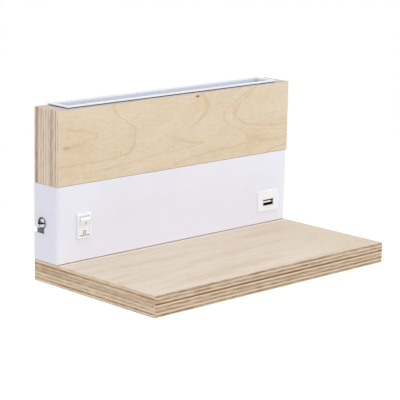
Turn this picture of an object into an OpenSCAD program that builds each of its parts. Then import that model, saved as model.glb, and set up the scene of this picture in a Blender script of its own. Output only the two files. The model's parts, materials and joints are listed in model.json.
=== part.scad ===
// Wall lamp with a shelf. A plywood hood holds an upward light tray, a folded steel case under it
// holds the switch, the USB socket and the wiring, and a plywood shelf is screwed under the case.
// The case hangs by L-shaped slots on two screws of a wall bracket, which clamp it from its ends.
// Millimetres. +X is to the right, +Y goes into the wall and +Z is up. The wall is y = 0, and the
// origin is midway between the bracket's two wall screws, on the axis of the clamp screws.

/* [Overall] */
// Width of the hood, the case and the shelf
lamp_w = 270; // [225:1:400]
// Depth of the case and the hood, from the wall to the front
case_d = 30; // [29:0.5:45]
// Height of the steel case
case_h = 65; // [54:0.5:100]
// Height of the plywood hood
hood_h = 63; // [50:1:120]
// Depth of the shelf, from the wall to its front edge
shelf_d = 148; // [60:1:250]
// Thickness of the shelf board
shelf_t = 18; // [18:0.5:30]

/* [Steel case] */
// Thickness of the case's sheet
sheet_t = 1.2; // [0.8:0.1:1.6]
// Outer radius of the two front upright corners
corner_r = 3; // [2.5:0.5:6]
// Radius along the folded edges
edge_r = 1; // [0.5:0.1:2]
// Clearance between the clamp screw and the sides of its slot
slot_gap = 0.2; // [0.1:0.05:0.4]

/* [Plywood] */
// Wood left in front of the tray's slot
slot_front_wall = 5.5; // [4:0.5:8]
// Wood left behind the tray's slot
slot_back_wall = 2.7; // [2.7:0.1:5]
// Wood left at each end of the tray's slot
slot_end_wall = 15.2; // [13:0.1:30]
// Chamfer on the wood's edges
wood_chamfer = 0.5; // [0.2:0.1:1.5]

/* [Light tray] */
// Thickness of the tray's sheet
tray_t = 1; // [0.8:0.1:1.5]
// Clearance between the tray and the sides of its slot
tray_gap = 0.3; // [0.2:0.05:0.5]
// How far the rim reaches over the wood
lip_w = 2.5; // [2:0.1:2.6]
// Inside radius of the bend under the rim, which rests on the slot's edge
lip_bend_r = 1.6; // [1.2:0.1:2]
// Height of the tray, from under its floor to the top of its rim
tray_h = 26; // [24:0.5:40]
// Thickness of the diffuser
diffuser_t = 2; // [1.5:0.5:4]
// Depth of the diffuser's top below the rim's top
diffuser_drop = 7; // [5:0.5:9]
// Clearance round the diffuser
diffuser_gap = 0.2; // [0.1:0.05:0.5]
// Distance from one light-emitting chip to the next
chip_pitch = 16; // [14:0.5:30]

/* [Wall bracket] */
// Thickness of the bracket's sheet
bracket_t = 1.5; // [1.2:0.1:2.5]
// Gap between the case's outside and the outside of the bracket's end flange
flange_inset = 2.1; // [1.8:0.1:3]
// Height of the bracket's end flanges
flange_h = 24; // [20:1:28]
// Reach of the end flanges from the wall
flange_reach = 16; // [15:0.5:20]
// Distance between the two round wall-screw holes
wall_hole_pitch = 150; // [110:1:160]
// Distance between the two wall-screw slots
wall_slot_pitch = 90; // [60:1:90]
// Radius of the wall-screw holes, and half the width of the slots
wall_hole_r = 2.5; // [2:0.1:3]
// Length of the wall-screw slots, end to end
wall_slot_l = 16; // [10:1:20]
// Radius of the cable's way through the rubber bushing
cable_r = 4; // [3:0.1:5]

/* [Clamp screws] */
// Radius of the clamp screw's shank
clamp_r = 2; // [1.6:0.1:2.5]
// Length of the clamp screw under its head
clamp_l = 10; // [9:0.5:14]
// Radius of the clamp screw's domed head
clamp_head_r = 4; // [3.5:0.1:4.5]
// Height of the clamp screw's domed head
clamp_head_h = 2.8; // [2:0.1:3.5]
// Radius of the washer
washer_r = 4.8; // [4.6:0.1:6]
// Thickness of the washer
washer_t = 0.8; // [0.5:0.1:1.2]
// Distance from the wall to the clamp screw's axis
clamp_y = 10.7; // [9:0.1:11]
// Height the lamp is lifted before it comes off the screws
lift = 6.9; // [6.5:0.1:8]
// Clearance between a turning shaft and its bore
running_gap = 0.05; // [0.02:0.01:0.1]

/* [Rocker switch] */
// Distance from the case's left end to the switch's middle
switch_from_end = 27.4; // [20:0.1:28]
// Height of the switch's middle, from the middle of the case
switch_z = -2.7; // [-5:0.1:3]
// Width of the switch's frame
bezel_w = 15; // [14:0.5:18]
// Height of the switch's frame
bezel_h = 21; // [20:0.5:24]
// How far the frame stands out of the case
bezel_t = 2; // [1.5:0.1:2.5]
// Width of the window in the frame
window_w = 10.8; // [10:0.1:11]
// Height of the window in the frame
window_h = 16.7; // [16:0.1:17]
// Angle between the rocker's off and on positions
rocker_swing = 22; // [16:1:24]
// Angle that the contact lever turns through between off and on
lever_swing = 14; // [10:1:16]

/* [USB socket] */
// Distance from the case's right end to the socket's middle
usb_from_end = 23.5; // [20:0.1:28]
// Height of the faceplate's middle, from the middle of the case
usb_z = -12.2; // [-13:0.1:5]
// Width of the faceplate
usb_plate_w = 27; // [25:0.5:30]
// Height of the faceplate
usb_plate_h = 19.2; // [18:0.1:22]
// How far the faceplate stands out of the case
usb_plate_t = 1; // [0.8:0.1:1.5]
// Wall of the socket's moulded body
usb_wall = 1.2; // [1:0.1:1.5]

/* [Wiring] */
// Outer diameter of the wires
wire_d = 1.6; // [1.2:0.1:1.8]

/* [Hidden] */
$fn = 64;

// The case, outside and inside
end_x = lamp_w / 2;
case_top = case_h / 2;
in_x = end_x - sheet_t;
in_front = -(case_d - sheet_t);
in_top = case_top - sheet_t;
in_floor = -in_top;

// Gap left between faces that are assembled with room, such as a body in its cut-out
fit_gap = 0.15;

// The clamp screws' slots
slot_w = 2 * (clamp_r + slot_gap);

// The wall bracket is as tall as the lift allows inside the case
bracket_end_gap = 4.4;
bracket_h = 2 * (in_top - lift - bracket_end_gap);
flange_x = end_x - flange_inset;
bracket_wide_x = end_x - 17;
bracket_bend_r = 0.5;
nut_flats = 7;
nut_t = 3.2;
bushing_r = cable_r + 2;
bushing_flange_r = cable_r + 4;
bushing_flange_t = 2;

// The hood and the slot milled through it for the tray
hood_top = case_top + hood_h;
slot_x = end_x - slot_end_wall;
slot_y0 = -case_d + slot_front_wall;
slot_y1 = -slot_back_wall;

// The tray hangs by the bend under its rim, on the slot's edge
tray_x = slot_x - tray_gap;
tray_y0 = slot_y0 + tray_gap;
tray_y1 = slot_y1 - tray_gap;
tray_mid_y = (tray_y0 + tray_y1) / 2;
bend_seat_gap = 0.03;
bend_overlap = 0.01;
lip_gap = lip_bend_r - sqrt(pow(lip_bend_r, 2) - pow(lip_bend_r - tray_gap, 2)) + bend_seat_gap;
lip_z0 = hood_top + lip_gap;
lip_z1 = lip_z0 + tray_t;
tray_floor = lip_z1 - tray_h + tray_t;
ledge_z1 = lip_z1 - diffuser_drop - diffuser_t;
ledge_w = 4;
tab_w = 2;
tab_l = 12;
tab_x = tray_x / 2;

// The lighting board on the tray's floor
board_x = tray_x - tray_t - 5.5;
board_w = 12;
board_t = 1.6;
chip_count = 2 * floor((board_x - 1) / chip_pitch);
chip_size = [3.5, 2.8, 0.8];
board_screw_x = (chip_count / 2 - 1) * chip_pitch;
wire_hole_r = 4;

// Screws: shank radius, head radius, head height
wood_screw = [2, 3.8, 2.4];
wood_screw_l = 14;
tray_screw = [1.5, 2.8, 1.8];
tray_screw_l = 12;
board_screw = [1.25, 2.2, 1.4];
panel_screw = [1.5, 2.8, 1.8];
earth_screw_size = [2, 3.5, 2.2];
pilot_gap = 0.05;
tray_screw_z = tray_floor + 8;
hood_screw_x = end_x - slot_end_wall / 2;
hood_screw_y = [-9, -(case_d - 9)];
shelf_screw_x = [-(end_x - 20), 0, end_x - 20];
shelf_screw_y = [-8, -(case_d - 8)];

// Grommets: bore, hole and flange radius, flange thickness
grommet_bore = 2;
grommet_hole = 2.9;
grommet_flange = 3.6;
grommet_t = 0.8;

// The lighting driver under the case's top
driver_x0 = -72;
driver_x1 = -12;
driver_y0 = in_front + 1.3;
driver_y1 = driver_y0 + 18;
driver_h = 16;
driver_wall = 1.5;
driver_mid_y = (driver_y0 + driver_y1) / 2;
ear_l = 7;
ear_w = 7;
driver_board_z = in_top - driver_h + driver_wall + 1.2;

// The terminal block on the case's floor, its poles in a row from front to back
block_x0 = 17;
block_x1 = 33;
block_y = [-22, -15, -8];
block_pitch = 7;
pole_z = in_floor + 6.3;
block_h = 12;
// Two wires lie side by side in a pole, each this far from its middle
wire_pair = wire_d / 2 + 0.1;
pole_bore_r = wire_pair + wire_d / 2 + 0.2;
pole_tube_r = pole_bore_r + 0.7;
pole_screw_r = 1.25;
pole_screw_x = [block_x0 + 4.5, block_x1 - 4.5];
wire_in_pole = 6;

// The earth tag
earth_x = 54;
earth_y = -15;
tag_t = 0.8;
tag_l = 8;
crimp_l = 3.4;

// The rocker switch
switch_x = -end_x + switch_from_end;
body_w = bezel_w - 2;
body_h = bezel_h - 1.8;
body_depth = 16;
body_floor = 1.5;
pivot_in = 1.5;
pivot_r = 1.2;
rocker_gap = 0.15;
rocker_r = window_h / 2 - rocker_gap;
rocker_w = window_w - 2 * rocker_gap;
rocker_front = 3.4;
rocker_back = 1.8;
rocker_wall = 1.2;
stem_r = 2.1;
stem_bore = 1.25;
stem_end = 4;
plunger_r = 1.1;
plunger_reach = 6.5;
lever_t = 0.6;
lever_w = 3.5;
fulcrum_r = 0.5;
fulcrum_gap = 0.03;
fulcrum_in = pivot_in + plunger_reach + 0.05 + lever_t + fulcrum_gap + fulcrum_r;
terminal_w = 4.8;
terminal_t = 0.8;
terminal_end = 23;
contact_z = -5.6;
contact_r = 1;
contact_t = 0.5;
// Depth of the fixed contact's face: just behind the lever's contact in the on position
fixed_contact_in = fulcrum_in - (fulcrum_r + fulcrum_gap - contact_t) * cos(lever_swing / 2)
    - (contact_z - contact_r) * sin(lever_swing / 2) + 0.05;

// The USB socket
usb_x = end_x - usb_from_end;
usb_body_w = usb_plate_w - 4.4;
usb_body_h = usb_plate_h - 3.6;
usb_depth = 21;
usb_cover_t = 1.5;
port_w = 13.1;
port_h = 5.7;
port_t = 0.3;
port_depth = 14;
port_dx = -0.2;
port_dz = -1.3;
tongue_w = 11.1;
tongue_t = 1.6;
tongue_up = 0.3;
tongue_in = 1.4;
usb_board_t = 1.2;
usb_board_top = usb_z + port_dz - port_h / 2;

// Rings along a wire lie this many diameters apart
ring_step = 2.5;

// Where the wires run along the case: high and low run, front of the case
run_y = in_front + 2.3;
run_z = pole_z + 12;
tip_y = -case_d + terminal_end;
live_z = switch_z + contact_z;
usb_side_x = usb_x - usb_body_w / 2;
driver_in_z = in_top - 8;
pair_x = 1;
pad_x = 5.2;
board_top = tray_floor + board_t;

// Each wire runs square into what holds it over this length
square_end = 2;

// Routes of the wires, each from its first to its last end
live_route = [
    [block_x1 - wire_in_pole, block_y[0] - wire_pair, pole_z],
    [block_x1 + 1, block_y[0] - wire_pair, pole_z],
    [block_x1 + 7, block_y[0] - 1, pole_z + 0.5],
    [block_x1 + 11, block_y[0] - 1.5, pole_z + 4],
    [block_x1 + 10, run_y + 2, pole_z + 9],
    [block_x1 + 4, run_y + 1, run_z - 0.8],
    [block_x1 - 8, run_y + 0.3, run_z],
    [0, run_y, run_z],
    [-35, run_y, run_z],
    [switch_x + 30, run_y + 0.5, run_z],
    [switch_x + 16, run_y + 5, run_z + 1],
    [switch_x + 10, tip_y - 5, run_z + 2.5],
    [switch_x + 6.5, tip_y + 0.5, live_z - 1.5],
    [switch_x + 4, tip_y + 3.1, live_z - 0.7],
    [switch_x + 1.2, tip_y + 3.5, live_z],
    [switch_x, tip_y + square_end, live_z],
    [switch_x, tip_y, live_z]];
switched_route = [
    [switch_x, tip_y, switch_z],
    [switch_x, tip_y + square_end, switch_z],
    [switch_x + 1.2, tip_y + 3.5, switch_z + 0.7],
    [switch_x + 4, tip_y + 3.2, switch_z + 3],
    [switch_x + 8.5, tip_y + 1, switch_z + 7.7],
    [switch_x + 15, tip_y - 4, switch_z + 14.5],
    [driver_x0 - 14, driver_mid_y + 2.5, driver_in_z - 5],
    [driver_x0 - 6, driver_mid_y + 0.5, driver_in_z - 0.4],
    [driver_x0 - square_end, driver_mid_y + 0.5, driver_in_z],
    [driver_x0, driver_mid_y + 0.5, driver_in_z]];
neutral_route = [
    [block_x1 - wire_in_pole, block_y[1] - wire_pair, pole_z],
    [block_x1 + 1, block_y[1] - wire_pair, pole_z],
    [block_x1 + 7, block_y[1] - 1, pole_z + 0.5],
    [block_x1 + 12, block_y[1] - 2, pole_z + 4],
    [block_x1 + 11, block_y[1] - 5, run_z - 4],
    [block_x1 + 5, run_y + 3.9, run_z - 2.8],
    [block_x1 - 5, run_y + 3.1, run_z - 2.4],
    [0, run_y + 2.6, run_z - 2.3],
    [-35, run_y + 2.6, run_z - 2.3],
    [driver_x0 - 8, run_y + 3, run_z - 2],
    [driver_x0 - 14, run_y + 4.5, run_z + 4],
    [driver_x0 - 15, run_y + 5, 0],
    [driver_x0 - 13, run_y + 5, driver_in_z - 13],
    [driver_x0 - 6, driver_mid_y - 4, driver_in_z - 5],
    [driver_x0 - square_end, driver_mid_y - 4, driver_in_z - 4.5],
    [driver_x0, driver_mid_y - 4, driver_in_z - 4.5]];
earth_route = [
    [block_x1 - wire_in_pole, block_y[2], pole_z],
    [block_x1 + 1, block_y[2], pole_z],
    [block_x1 + 5, block_y[2] - 0.6, pole_z - 0.5],
    [earth_x - 13.5, earth_y + 3.6, in_floor + 4],
    [earth_x - 11, earth_y + 0.7, in_floor + 2],
    [earth_x - 8.5, earth_y, in_floor + tag_t + wire_d / 2],
    [earth_x - 5, earth_y, in_floor + tag_t + wire_d / 2]];
usb_live_route = [
    [block_x1 - wire_in_pole, block_y[0] + wire_pair, pole_z],
    [block_x1 + 1, block_y[0] + wire_pair, pole_z],
    [block_x1 + 7, block_y[0] + 1, pole_z + 0.4],
    [block_x1 + 17, block_y[0] + 3, pole_z + 2],
    [usb_side_x - 30, block_y[0] + 5, pole_z + 2.5],
    [usb_side_x - 16, block_y[1], pole_z + 5],
    [usb_side_x - 6.5, block_y[1] + 1, usb_z - 1.6],
    [usb_side_x - square_end, block_y[1] + 1, usb_z - 0.8],
    [usb_side_x, block_y[1] + 1, usb_z - 0.8]];
usb_neutral_route = [
    [block_x1 - wire_in_pole, block_y[1] + wire_pair, pole_z],
    [block_x1 + 1, block_y[1] + wire_pair, pole_z],
    [block_x1 + 7, block_y[1] + 1, pole_z + 0.2],
    [block_x1 + 19, block_y[1] + 0.5, pole_z + 1.8],
    [usb_side_x - 30, block_y[1] + 0.5, pole_z + 2.7],
    [usb_side_x - 16, block_y[1] + 2, pole_z + 7],
    [usb_side_x - 6.5, block_y[1] + 3, usb_z + 1.9],
    [usb_side_x - square_end, block_y[1] + 3, usb_z + 2.7],
    [usb_side_x, block_y[1] + 3, usb_z + 2.7]];
led_rise = [for (z = [in_top + 1 : 9 : tray_floor - 2]) z];
led_minus_route = concat(
    [[driver_x1, driver_mid_y + 2.5, driver_in_z + 1],
     [driver_x1 + square_end, driver_mid_y + 2.5, driver_in_z + 1],
     [driver_x1 + 5, driver_mid_y + 2.6, driver_in_z + 1.1],
     [-2.5, tray_mid_y - 0.8, in_top - 5.7],
     [-1.1, tray_mid_y - 0.1, in_top - 2.8]],
    [for (z = led_rise) [-pair_x, tray_mid_y, z]], solder_end(-1));
led_plus_route = concat(
    [[driver_x1, driver_mid_y - 1.5, driver_in_z - 1],
     [driver_x1 + square_end, driver_mid_y - 1.5, driver_in_z - 1],
     [driver_x1 + 6, driver_mid_y - 1.5, driver_in_z - 1],
     [-0.5, driver_mid_y, driver_in_z - 0.5],
     [0.9, tray_mid_y - 1.8, in_top - 6],
     [1, tray_mid_y - 0.2, in_top - 2.6]],
    [for (z = led_rise) [pair_x, tray_mid_y, z]], solder_end(1));

// The end of a lighting wire: through the board's hole, over, and down to its solder pad
function solder_end(side) = [
    [side * (pair_x + 0.1), tray_mid_y, board_top + 0.8],
    [side * (pair_x + 1.4), tray_mid_y, board_top + 3.2],
    [side * (pad_x - 0.9), tray_mid_y, board_top + 3],
    [side * pad_x, tray_mid_y, board_top + 1.4],
    [side * pad_x, tray_mid_y, board_top]];

function unit(v) = v / norm(v);

// The point a share u of the way from point i to the next, on a smooth curve through the points
function curve_point(p, i, u) =
    let (last = len(p) - 1, a = p[max(i - 1, 0)], b = p[i], c = p[i + 1], d = p[min(i + 2, last)])
    0.5 * (2 * b + (c - a) * u + (2 * a - 5 * b + 4 * c - d) * pow(u, 2)
        + (3 * b - a - 3 * c + d) * pow(u, 3));

// Points along that curve, about one gap apart
function curve(p, gap) = concat(
    [for (i = [0 : len(p) - 2])
        let (steps = max(1, round(norm(p[i + 1] - p[i]) / gap)))
        for (k = [0 : steps - 1]) curve_point(p, i, k / steps)],
    [p[len(p) - 1]]);

// A direction square to each tangent, carried along with as little twist as it can have
function carried(tangents, n, i = 0) = i == len(tangents) ? [] :
    let (m = unit(n - (n * tangents[i]) * tangents[i]))
    concat([m], carried(tangents, m, i + 1));

// A round rod of diameter d along the points of a path
module rod_along(path, d, sides = 8) {
    last = len(path) - 1;
    tangents = [for (i = [0 : last]) unit(path[min(i + 1, last)] - path[max(i - 1, 0)])];
    normals = carried(tangents, abs(tangents[0].z) < 0.9 ? [0, 0, 1] : [1, 0, 0]);
    points = [for (i = [0 : last]) let (side = cross(tangents[i], normals[i]))
        for (k = [0 : sides - 1])
            path[i] + d / 2 * (cos(360 * k / sides) * normals[i] + sin(360 * k / sides) * side)];
    walls = [for (i = [0 : last - 1]) for (k = [0 : sides - 1])
        let (a = i * sides + k, b = i * sides + (k + 1) % sides)
        each [[a, a + sides, b + sides], [a, b + sides, b]]];
    start = [for (k = [0 : sides - 1]) k];
    finish = [for (k = [sides - 1 : -1 : 0]) last * sides + k];
    polyhedron(points, concat(walls, [start, finish]));
}

module wire(route) rod_along(curve(route, ring_step * wire_d), wire_d);

// Prisms of an outline: across x it is drawn in (y, z), across y in (x, z), across z in (x, y)
module prism_x(x0, x1) translate([x0, 0, 0]) rotate([90, 0, 90]) linear_extrude(x1 - x0) children();
module prism_y(y0, y1) translate([0, y1, 0]) rotate([90, 0, 0]) linear_extrude(y1 - y0) children();
module prism_z(z0, z1) translate([0, 0, z0]) linear_extrude(z1 - z0) children();

// Cylinder of radius r from one place to another along x or y
module bar_x(x0, x1, r) translate([x0, 0, 0]) rotate([0, 90, 0]) cylinder(h = x1 - x0, r = r);
module bar_y(y0, y1, r) translate([0, y0, 0]) rotate([-90, 0, 0]) cylinder(h = y1 - y0, r = r);

// Box between two corners
module block(low, high) translate(low) cube(high - low);

// Its children and their mirror image in x
module both_ends() {
    children();
    mirror([1, 0, 0]) children();
}

module rounded_rect(size, r) {
    square([size.x - 2 * r, size.y], center = true);
    square([size.x, size.y - 2 * r], center = true);
    for (x = [-1, 1], y = [-1, 1])
        translate([x * (size.x / 2 - r), y * (size.y / 2 - r)]) circle(r);
}

// Slot with round ends, l long end to end and 2 r wide
module slot_outline(l, r) {
    square([l - 2 * r, 2 * r], center = true);
    for (x = [-1, 1]) translate([x * (l / 2 - r), 0]) circle(r);
}

// Outline of the case: square at the wall, y = 0, and rounded at the two front corners
module case_outline(half_w, depth, r) {
    translate([-half_w, -(depth - r)]) square([2 * half_w, depth - r]);
    translate([-(half_w - r), -depth]) square([2 * (half_w - r), depth]);
    for (x = [-1, 1]) translate([x * (half_w - r), -(depth - r)]) circle(r);
}

// Rectangle with its corners cut off
module chamfered_rect(low, high, c) polygon([
    [low.x + c, low.y], [high.x - c, low.y], [high.x, low.y + c], [high.x, high.y - c],
    [high.x - c, high.y], [low.x + c, high.y], [low.x, high.y - c], [low.x, low.y + c]]);

// Box between two corners, with every edge chamfered
module chamfered_block(low, high, c) intersection() {
    prism_x(low.x, high.x) chamfered_rect([low.y, low.z], [high.y, high.z], c);
    prism_y(low.y, high.y) chamfered_rect([low.x, low.z], [high.x, high.z], c);
    prism_z(low.z, high.z) chamfered_rect([low.x, low.y], [high.x, high.y], c);
}

// Dome of radius r and height h, standing on z = 0
module dome(r, h) {
    ball_r = (r * r + h * h) / (2 * h);
    rotate_extrude() intersection() {
        translate([0, h - ball_r]) circle(ball_r);
        square([r, h]);
    }
}

// Screw along z: its head stands on z = 0, and its shank of length l goes down from there.
// size holds the shank's radius, the head's radius and the head's height.
module cross_screw(size, l, tip = 0) {
    recess_w = size[1] * 0.24;
    recess_l = size[1] * 1.1;
    recess_d = size[2] * 0.55;
    difference() {
        dome(size[1], size[2]);
        for (a = [0, 90]) rotate([0, 0, a])
            translate([-recess_l / 2, -recess_w / 2, size[2] - recess_d])
                cube([recess_l, recess_w, recess_d + 1]);
    }
    translate([0, 0, -(l - tip)]) cylinder(h = l - tip + 0.01, r = size[0]);
    if (tip > 0) translate([0, 0, -l]) cylinder(h = tip, r1 = 0.2, r2 = size[0]);
}

// Rubber grommet in a sheet of thickness t whose underside is z = 0
module grommet(t) difference() {
    union() {
        cylinder(h = t, r = grommet_hole);
        translate([0, 0, -grommet_t]) cylinder(h = grommet_t, r = grommet_flange);
        translate([0, 0, t]) cylinder(h = grommet_t, r = grommet_flange);
    }
    translate([0, 0, -2 * grommet_t]) cylinder(h = t + 4 * grommet_t, r = grommet_bore);
}

// L-shaped slot, drawn in (y, z): in from the wall side, then up to the screw's rest place
module clamp_slot_outline() {
    translate([-clamp_y - slot_w / 2, -lift - slot_w / 2]) square([clamp_y + slot_w / 2 + 1, slot_w]);
    translate([-clamp_y - slot_w / 2, -lift - slot_w / 2]) square([slot_w, lift + slot_w / 2]);
    translate([-clamp_y, 0]) circle(slot_w / 2);
}

module metal_housing() color("gainsboro") difference() {
    intersection() {
        prism_z(-case_top, case_top) case_outline(end_x, case_d, corner_r);
        prism_x(-end_x, end_x) rotate(-90) case_outline(case_top, case_d, edge_r);
        prism_y(-case_d, 0) rounded_rect([lamp_w, case_h], edge_r);
    }
    prism_z(in_floor, in_top) translate([0, 1])
        case_outline(in_x, case_d - sheet_t + 1, corner_r - sheet_t);
    prism_x(-end_x - 1, end_x + 1) clamp_slot_outline();
    translate([switch_x, 0, switch_z]) prism_y(-case_d - 1, in_front + 1)
        square([body_w, body_h] + 2 * fit_gap * [1, 1], center = true);
    translate([usb_x, 0, usb_z]) prism_y(-case_d - 1, in_front + 1)
        square([usb_body_w, usb_body_h] + 2 * fit_gap * [1, 1], center = true);
    both_ends() for (y = hood_screw_y) translate([hood_screw_x, y, in_top - 1])
        cylinder(h = sheet_t + 2, r = wood_screw[0] + fit_gap);
    for (x = shelf_screw_x, y = shelf_screw_y) translate([x, y, in_floor - sheet_t - 1])
        cylinder(h = sheet_t + 2, r = wood_screw[0] + fit_gap);
    for (x = [driver_x0 - ear_l / 2, driver_x1 + ear_l / 2])
        translate([x, driver_mid_y, in_top - 1]) cylinder(h = sheet_t + 2, r = panel_screw[0] + pilot_gap);
    translate([0, tray_mid_y, in_top - 1]) cylinder(h = sheet_t + 2, r = grommet_hole);
    translate([block_x0 - ear_l / 2, block_y[1], in_floor - sheet_t - 1])
        cylinder(h = sheet_t + 2, r = panel_screw[0] + pilot_gap);
    translate([earth_x, earth_y, in_floor - sheet_t - 1])
        cylinder(h = sheet_t + 2, r = earth_screw_size[0] + pilot_gap);
}

module plywood_hood() color("burlywood") difference() {
    chamfered_block([-end_x, -case_d, case_top], [end_x, 0, hood_top], wood_chamfer);
    block([-slot_x, slot_y0, case_top - 1], [slot_x, slot_y1, hood_top + 1]);
    both_ends() for (y = hood_screw_y) translate([hood_screw_x, y, case_top - 1])
        cylinder(h = wood_screw_l - sheet_t + 1.2, r = wood_screw[0] + pilot_gap);
    both_ends() translate([0, tray_mid_y, tray_screw_z])
        bar_x(slot_x - 1, tray_x - tray_t + tray_screw_l + 0.2, tray_screw[0] + pilot_gap);
}

module shelf_board() color("wheat") difference() {
    chamfered_block([-end_x, -shelf_d, -case_top - shelf_t], [end_x, 0, -case_top], wood_chamfer);
    for (x = shelf_screw_x, y = shelf_screw_y)
        translate([x, y, -case_top - wood_screw_l + sheet_t - 0.2])
            cylinder(h = wood_screw_l, r = wood_screw[0] + pilot_gap);
}

// Bend between the tray's wall, left of x = 0, and the rim, over z = 0: a square less a circle.
// It runs a little into both, so that its ends lie inside them.
module lip_bend_outline() difference() {
    translate([-tray_t / 2, -lip_bend_r]) square(lip_bend_r + tray_t / 2);
    translate([lip_bend_r, -lip_bend_r] - bend_overlap * [1, -1]) circle(lip_bend_r);
}

module light_tray_bends() translate([0, 0, lip_z0]) {
    prism_x(-tray_x, tray_x) translate([tray_y1, 0]) lip_bend_outline();
    prism_x(-tray_x, tray_x) translate([tray_y0, 0]) mirror([1, 0]) lip_bend_outline();
    both_ends() prism_y(tray_y0, tray_y1) translate([tray_x, 0]) lip_bend_outline();
}

module light_tray() color("white") difference() {
    union() {
        difference() {
            union() {
                block([-tray_x, tray_y0, lip_z1 - tray_h], [tray_x, tray_y1, lip_z1]);
                light_tray_bends();
                prism_z(lip_z0, lip_z1) translate([0, tray_mid_y])
                    rounded_rect([2 * (tray_x + lip_w), tray_y1 - tray_y0 + 2 * lip_w], 0.6);
            }
            block([-tray_x + tray_t, tray_y0 + tray_t, tray_floor],
                [tray_x - tray_t, tray_y1 - tray_t, lip_z1 + 1]);
        }
        both_ends() {
            block([tray_x - tray_t - ledge_w, tray_y0 + tray_t + 1, ledge_z1 - tray_t],
                [tray_x - tray_t / 2, tray_y1 - tray_t - 1, ledge_z1]);
            block([tab_x - tab_l / 2, tray_y0 + tray_t / 2, ledge_z1 - tray_t],
                [tab_x + tab_l / 2, tray_y0 + tray_t + tab_w, ledge_z1]);
            block([tab_x - tab_l / 2, tray_y1 - tray_t - tab_w, ledge_z1 - tray_t],
                [tab_x + tab_l / 2, tray_y1 - tray_t / 2, ledge_z1]);
        }
    }
    both_ends() translate([0, tray_mid_y, tray_screw_z])
        bar_x(tray_x - tray_t - 1, tray_x + 1, tray_screw[0] + pilot_gap);
    both_ends() translate([board_screw_x, tray_mid_y, tray_floor - tray_t - 1])
        cylinder(h = tray_t + 2, r = board_screw[0] + pilot_gap);
    translate([0, tray_mid_y, tray_floor - tray_t - 1]) cylinder(h = tray_t + 2, r = grommet_hole);
}

module diffuser_plate() color("ivory") translate([0, 0, ledge_z1])
    block([-tray_x + tray_t + diffuser_gap, tray_y0 + tray_t + diffuser_gap, 0],
        [tray_x - tray_t - diffuser_gap, tray_y1 - tray_t - diffuser_gap, diffuser_t]);

module led_board() color("whitesmoke") difference() {
    prism_z(tray_floor, board_top) translate([0, tray_mid_y]) square([2 * board_x, board_w], center = true);
    translate([0, tray_mid_y, tray_floor - 1]) cylinder(h = board_t + 2, r = wire_hole_r);
    both_ends() translate([board_screw_x, tray_mid_y, tray_floor - 1])
        cylinder(h = board_t + 2, r = board_screw[0] + fit_gap);
}

module led_chips() color("gold")
    for (i = [0 : chip_count - 1])
        translate([(i - (chip_count - 1) / 2) * chip_pitch, tray_mid_y, board_top + chip_size.z / 2])
            cube(chip_size, center = true);

module led_board_screws() color("silver") both_ends()
    translate([board_screw_x, tray_mid_y, board_top]) cross_screw(board_screw, board_t + tray_t + 1);

module tray_screws() color("silver") both_ends() translate([tray_x - tray_t, tray_mid_y, tray_screw_z])
    rotate([0, -90, 0]) cross_screw(tray_screw, tray_screw_l, 3);

module tray_grommet() color("dimgray")
    translate([0, tray_mid_y, tray_floor - tray_t]) grommet(tray_t);

module housing_grommet() color("dimgray")
    translate([0, tray_mid_y, in_top]) grommet(sheet_t);

module hood_screws() color("silver") both_ends() for (y = hood_screw_y)
    translate([hood_screw_x, y, in_top]) rotate([180, 0, 0]) cross_screw(wood_screw, wood_screw_l, 4);

module shelf_screws() color("silver") for (x = shelf_screw_x, y = shelf_screw_y)
    translate([x, y, in_floor]) cross_screw(wood_screw, wood_screw_l, 4);

module driver_case() color("white") difference() {
    union() {
        block([driver_x0, driver_y0, in_top - driver_h + driver_wall], [driver_x1, driver_y1, in_top]);
        block([driver_x0 - ear_l, driver_mid_y - ear_w / 2, in_top - driver_wall],
            [driver_x1 + ear_l, driver_mid_y + ear_w / 2, in_top]);
    }
    block([driver_x0 + driver_wall, driver_y0 + driver_wall, in_top - driver_h],
        [driver_x1 - driver_wall, driver_y1 - driver_wall, in_top - driver_wall]);
    for (x = [driver_x0 - ear_l / 2, driver_x1 + ear_l / 2])
        translate([x, driver_mid_y, in_top - driver_wall - 1])
            cylinder(h = driver_wall + 2, r = panel_screw[0] + fit_gap);
}

module driver_lid() color("whitesmoke") {
    block([driver_x0, driver_y0, in_top - driver_h],
        [driver_x1, driver_y1, in_top - driver_h + driver_wall]);
    for (x = [driver_x0 + 6, driver_x1 - 6], y = [driver_y0 + 5, driver_y1 - 5])
        translate([x, y, in_top - driver_h + driver_wall - 0.5])
            cylinder(h = driver_board_z - in_top + driver_h - driver_wall + 0.5, r = 1.5);
}

module driver_board() color("darkgreen")
    block([driver_x0 + driver_wall + 1, driver_y0 + driver_wall + 0.5, driver_board_z],
        [driver_x1 - driver_wall - 1, driver_y1 - driver_wall - 0.5, driver_board_z + board_t]);

module driver_transformer() color("goldenrod")
    translate([driver_x0 + 34, driver_mid_y, driver_board_z + board_t]) {
        translate([-7, -5, 0]) cube([14, 10, 1.5]);
        translate([-5, -6, 1.5]) cube([10, 12, 5]);
        translate([-7, -5, 6.5]) cube([14, 10, 1.5]);
    }

module driver_capacitor() color("darkslategray")
    translate([driver_x0 + 18, driver_mid_y, driver_board_z + board_t]) cylinder(h = 9, r = 4);

module driver_screws() color("silver") for (x = [driver_x0 - ear_l / 2, driver_x1 + ear_l / 2])
    translate([x, driver_mid_y, in_top - driver_wall]) rotate([180, 0, 0])
        cross_screw(panel_screw, driver_wall + sheet_t + 1.5);

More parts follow.
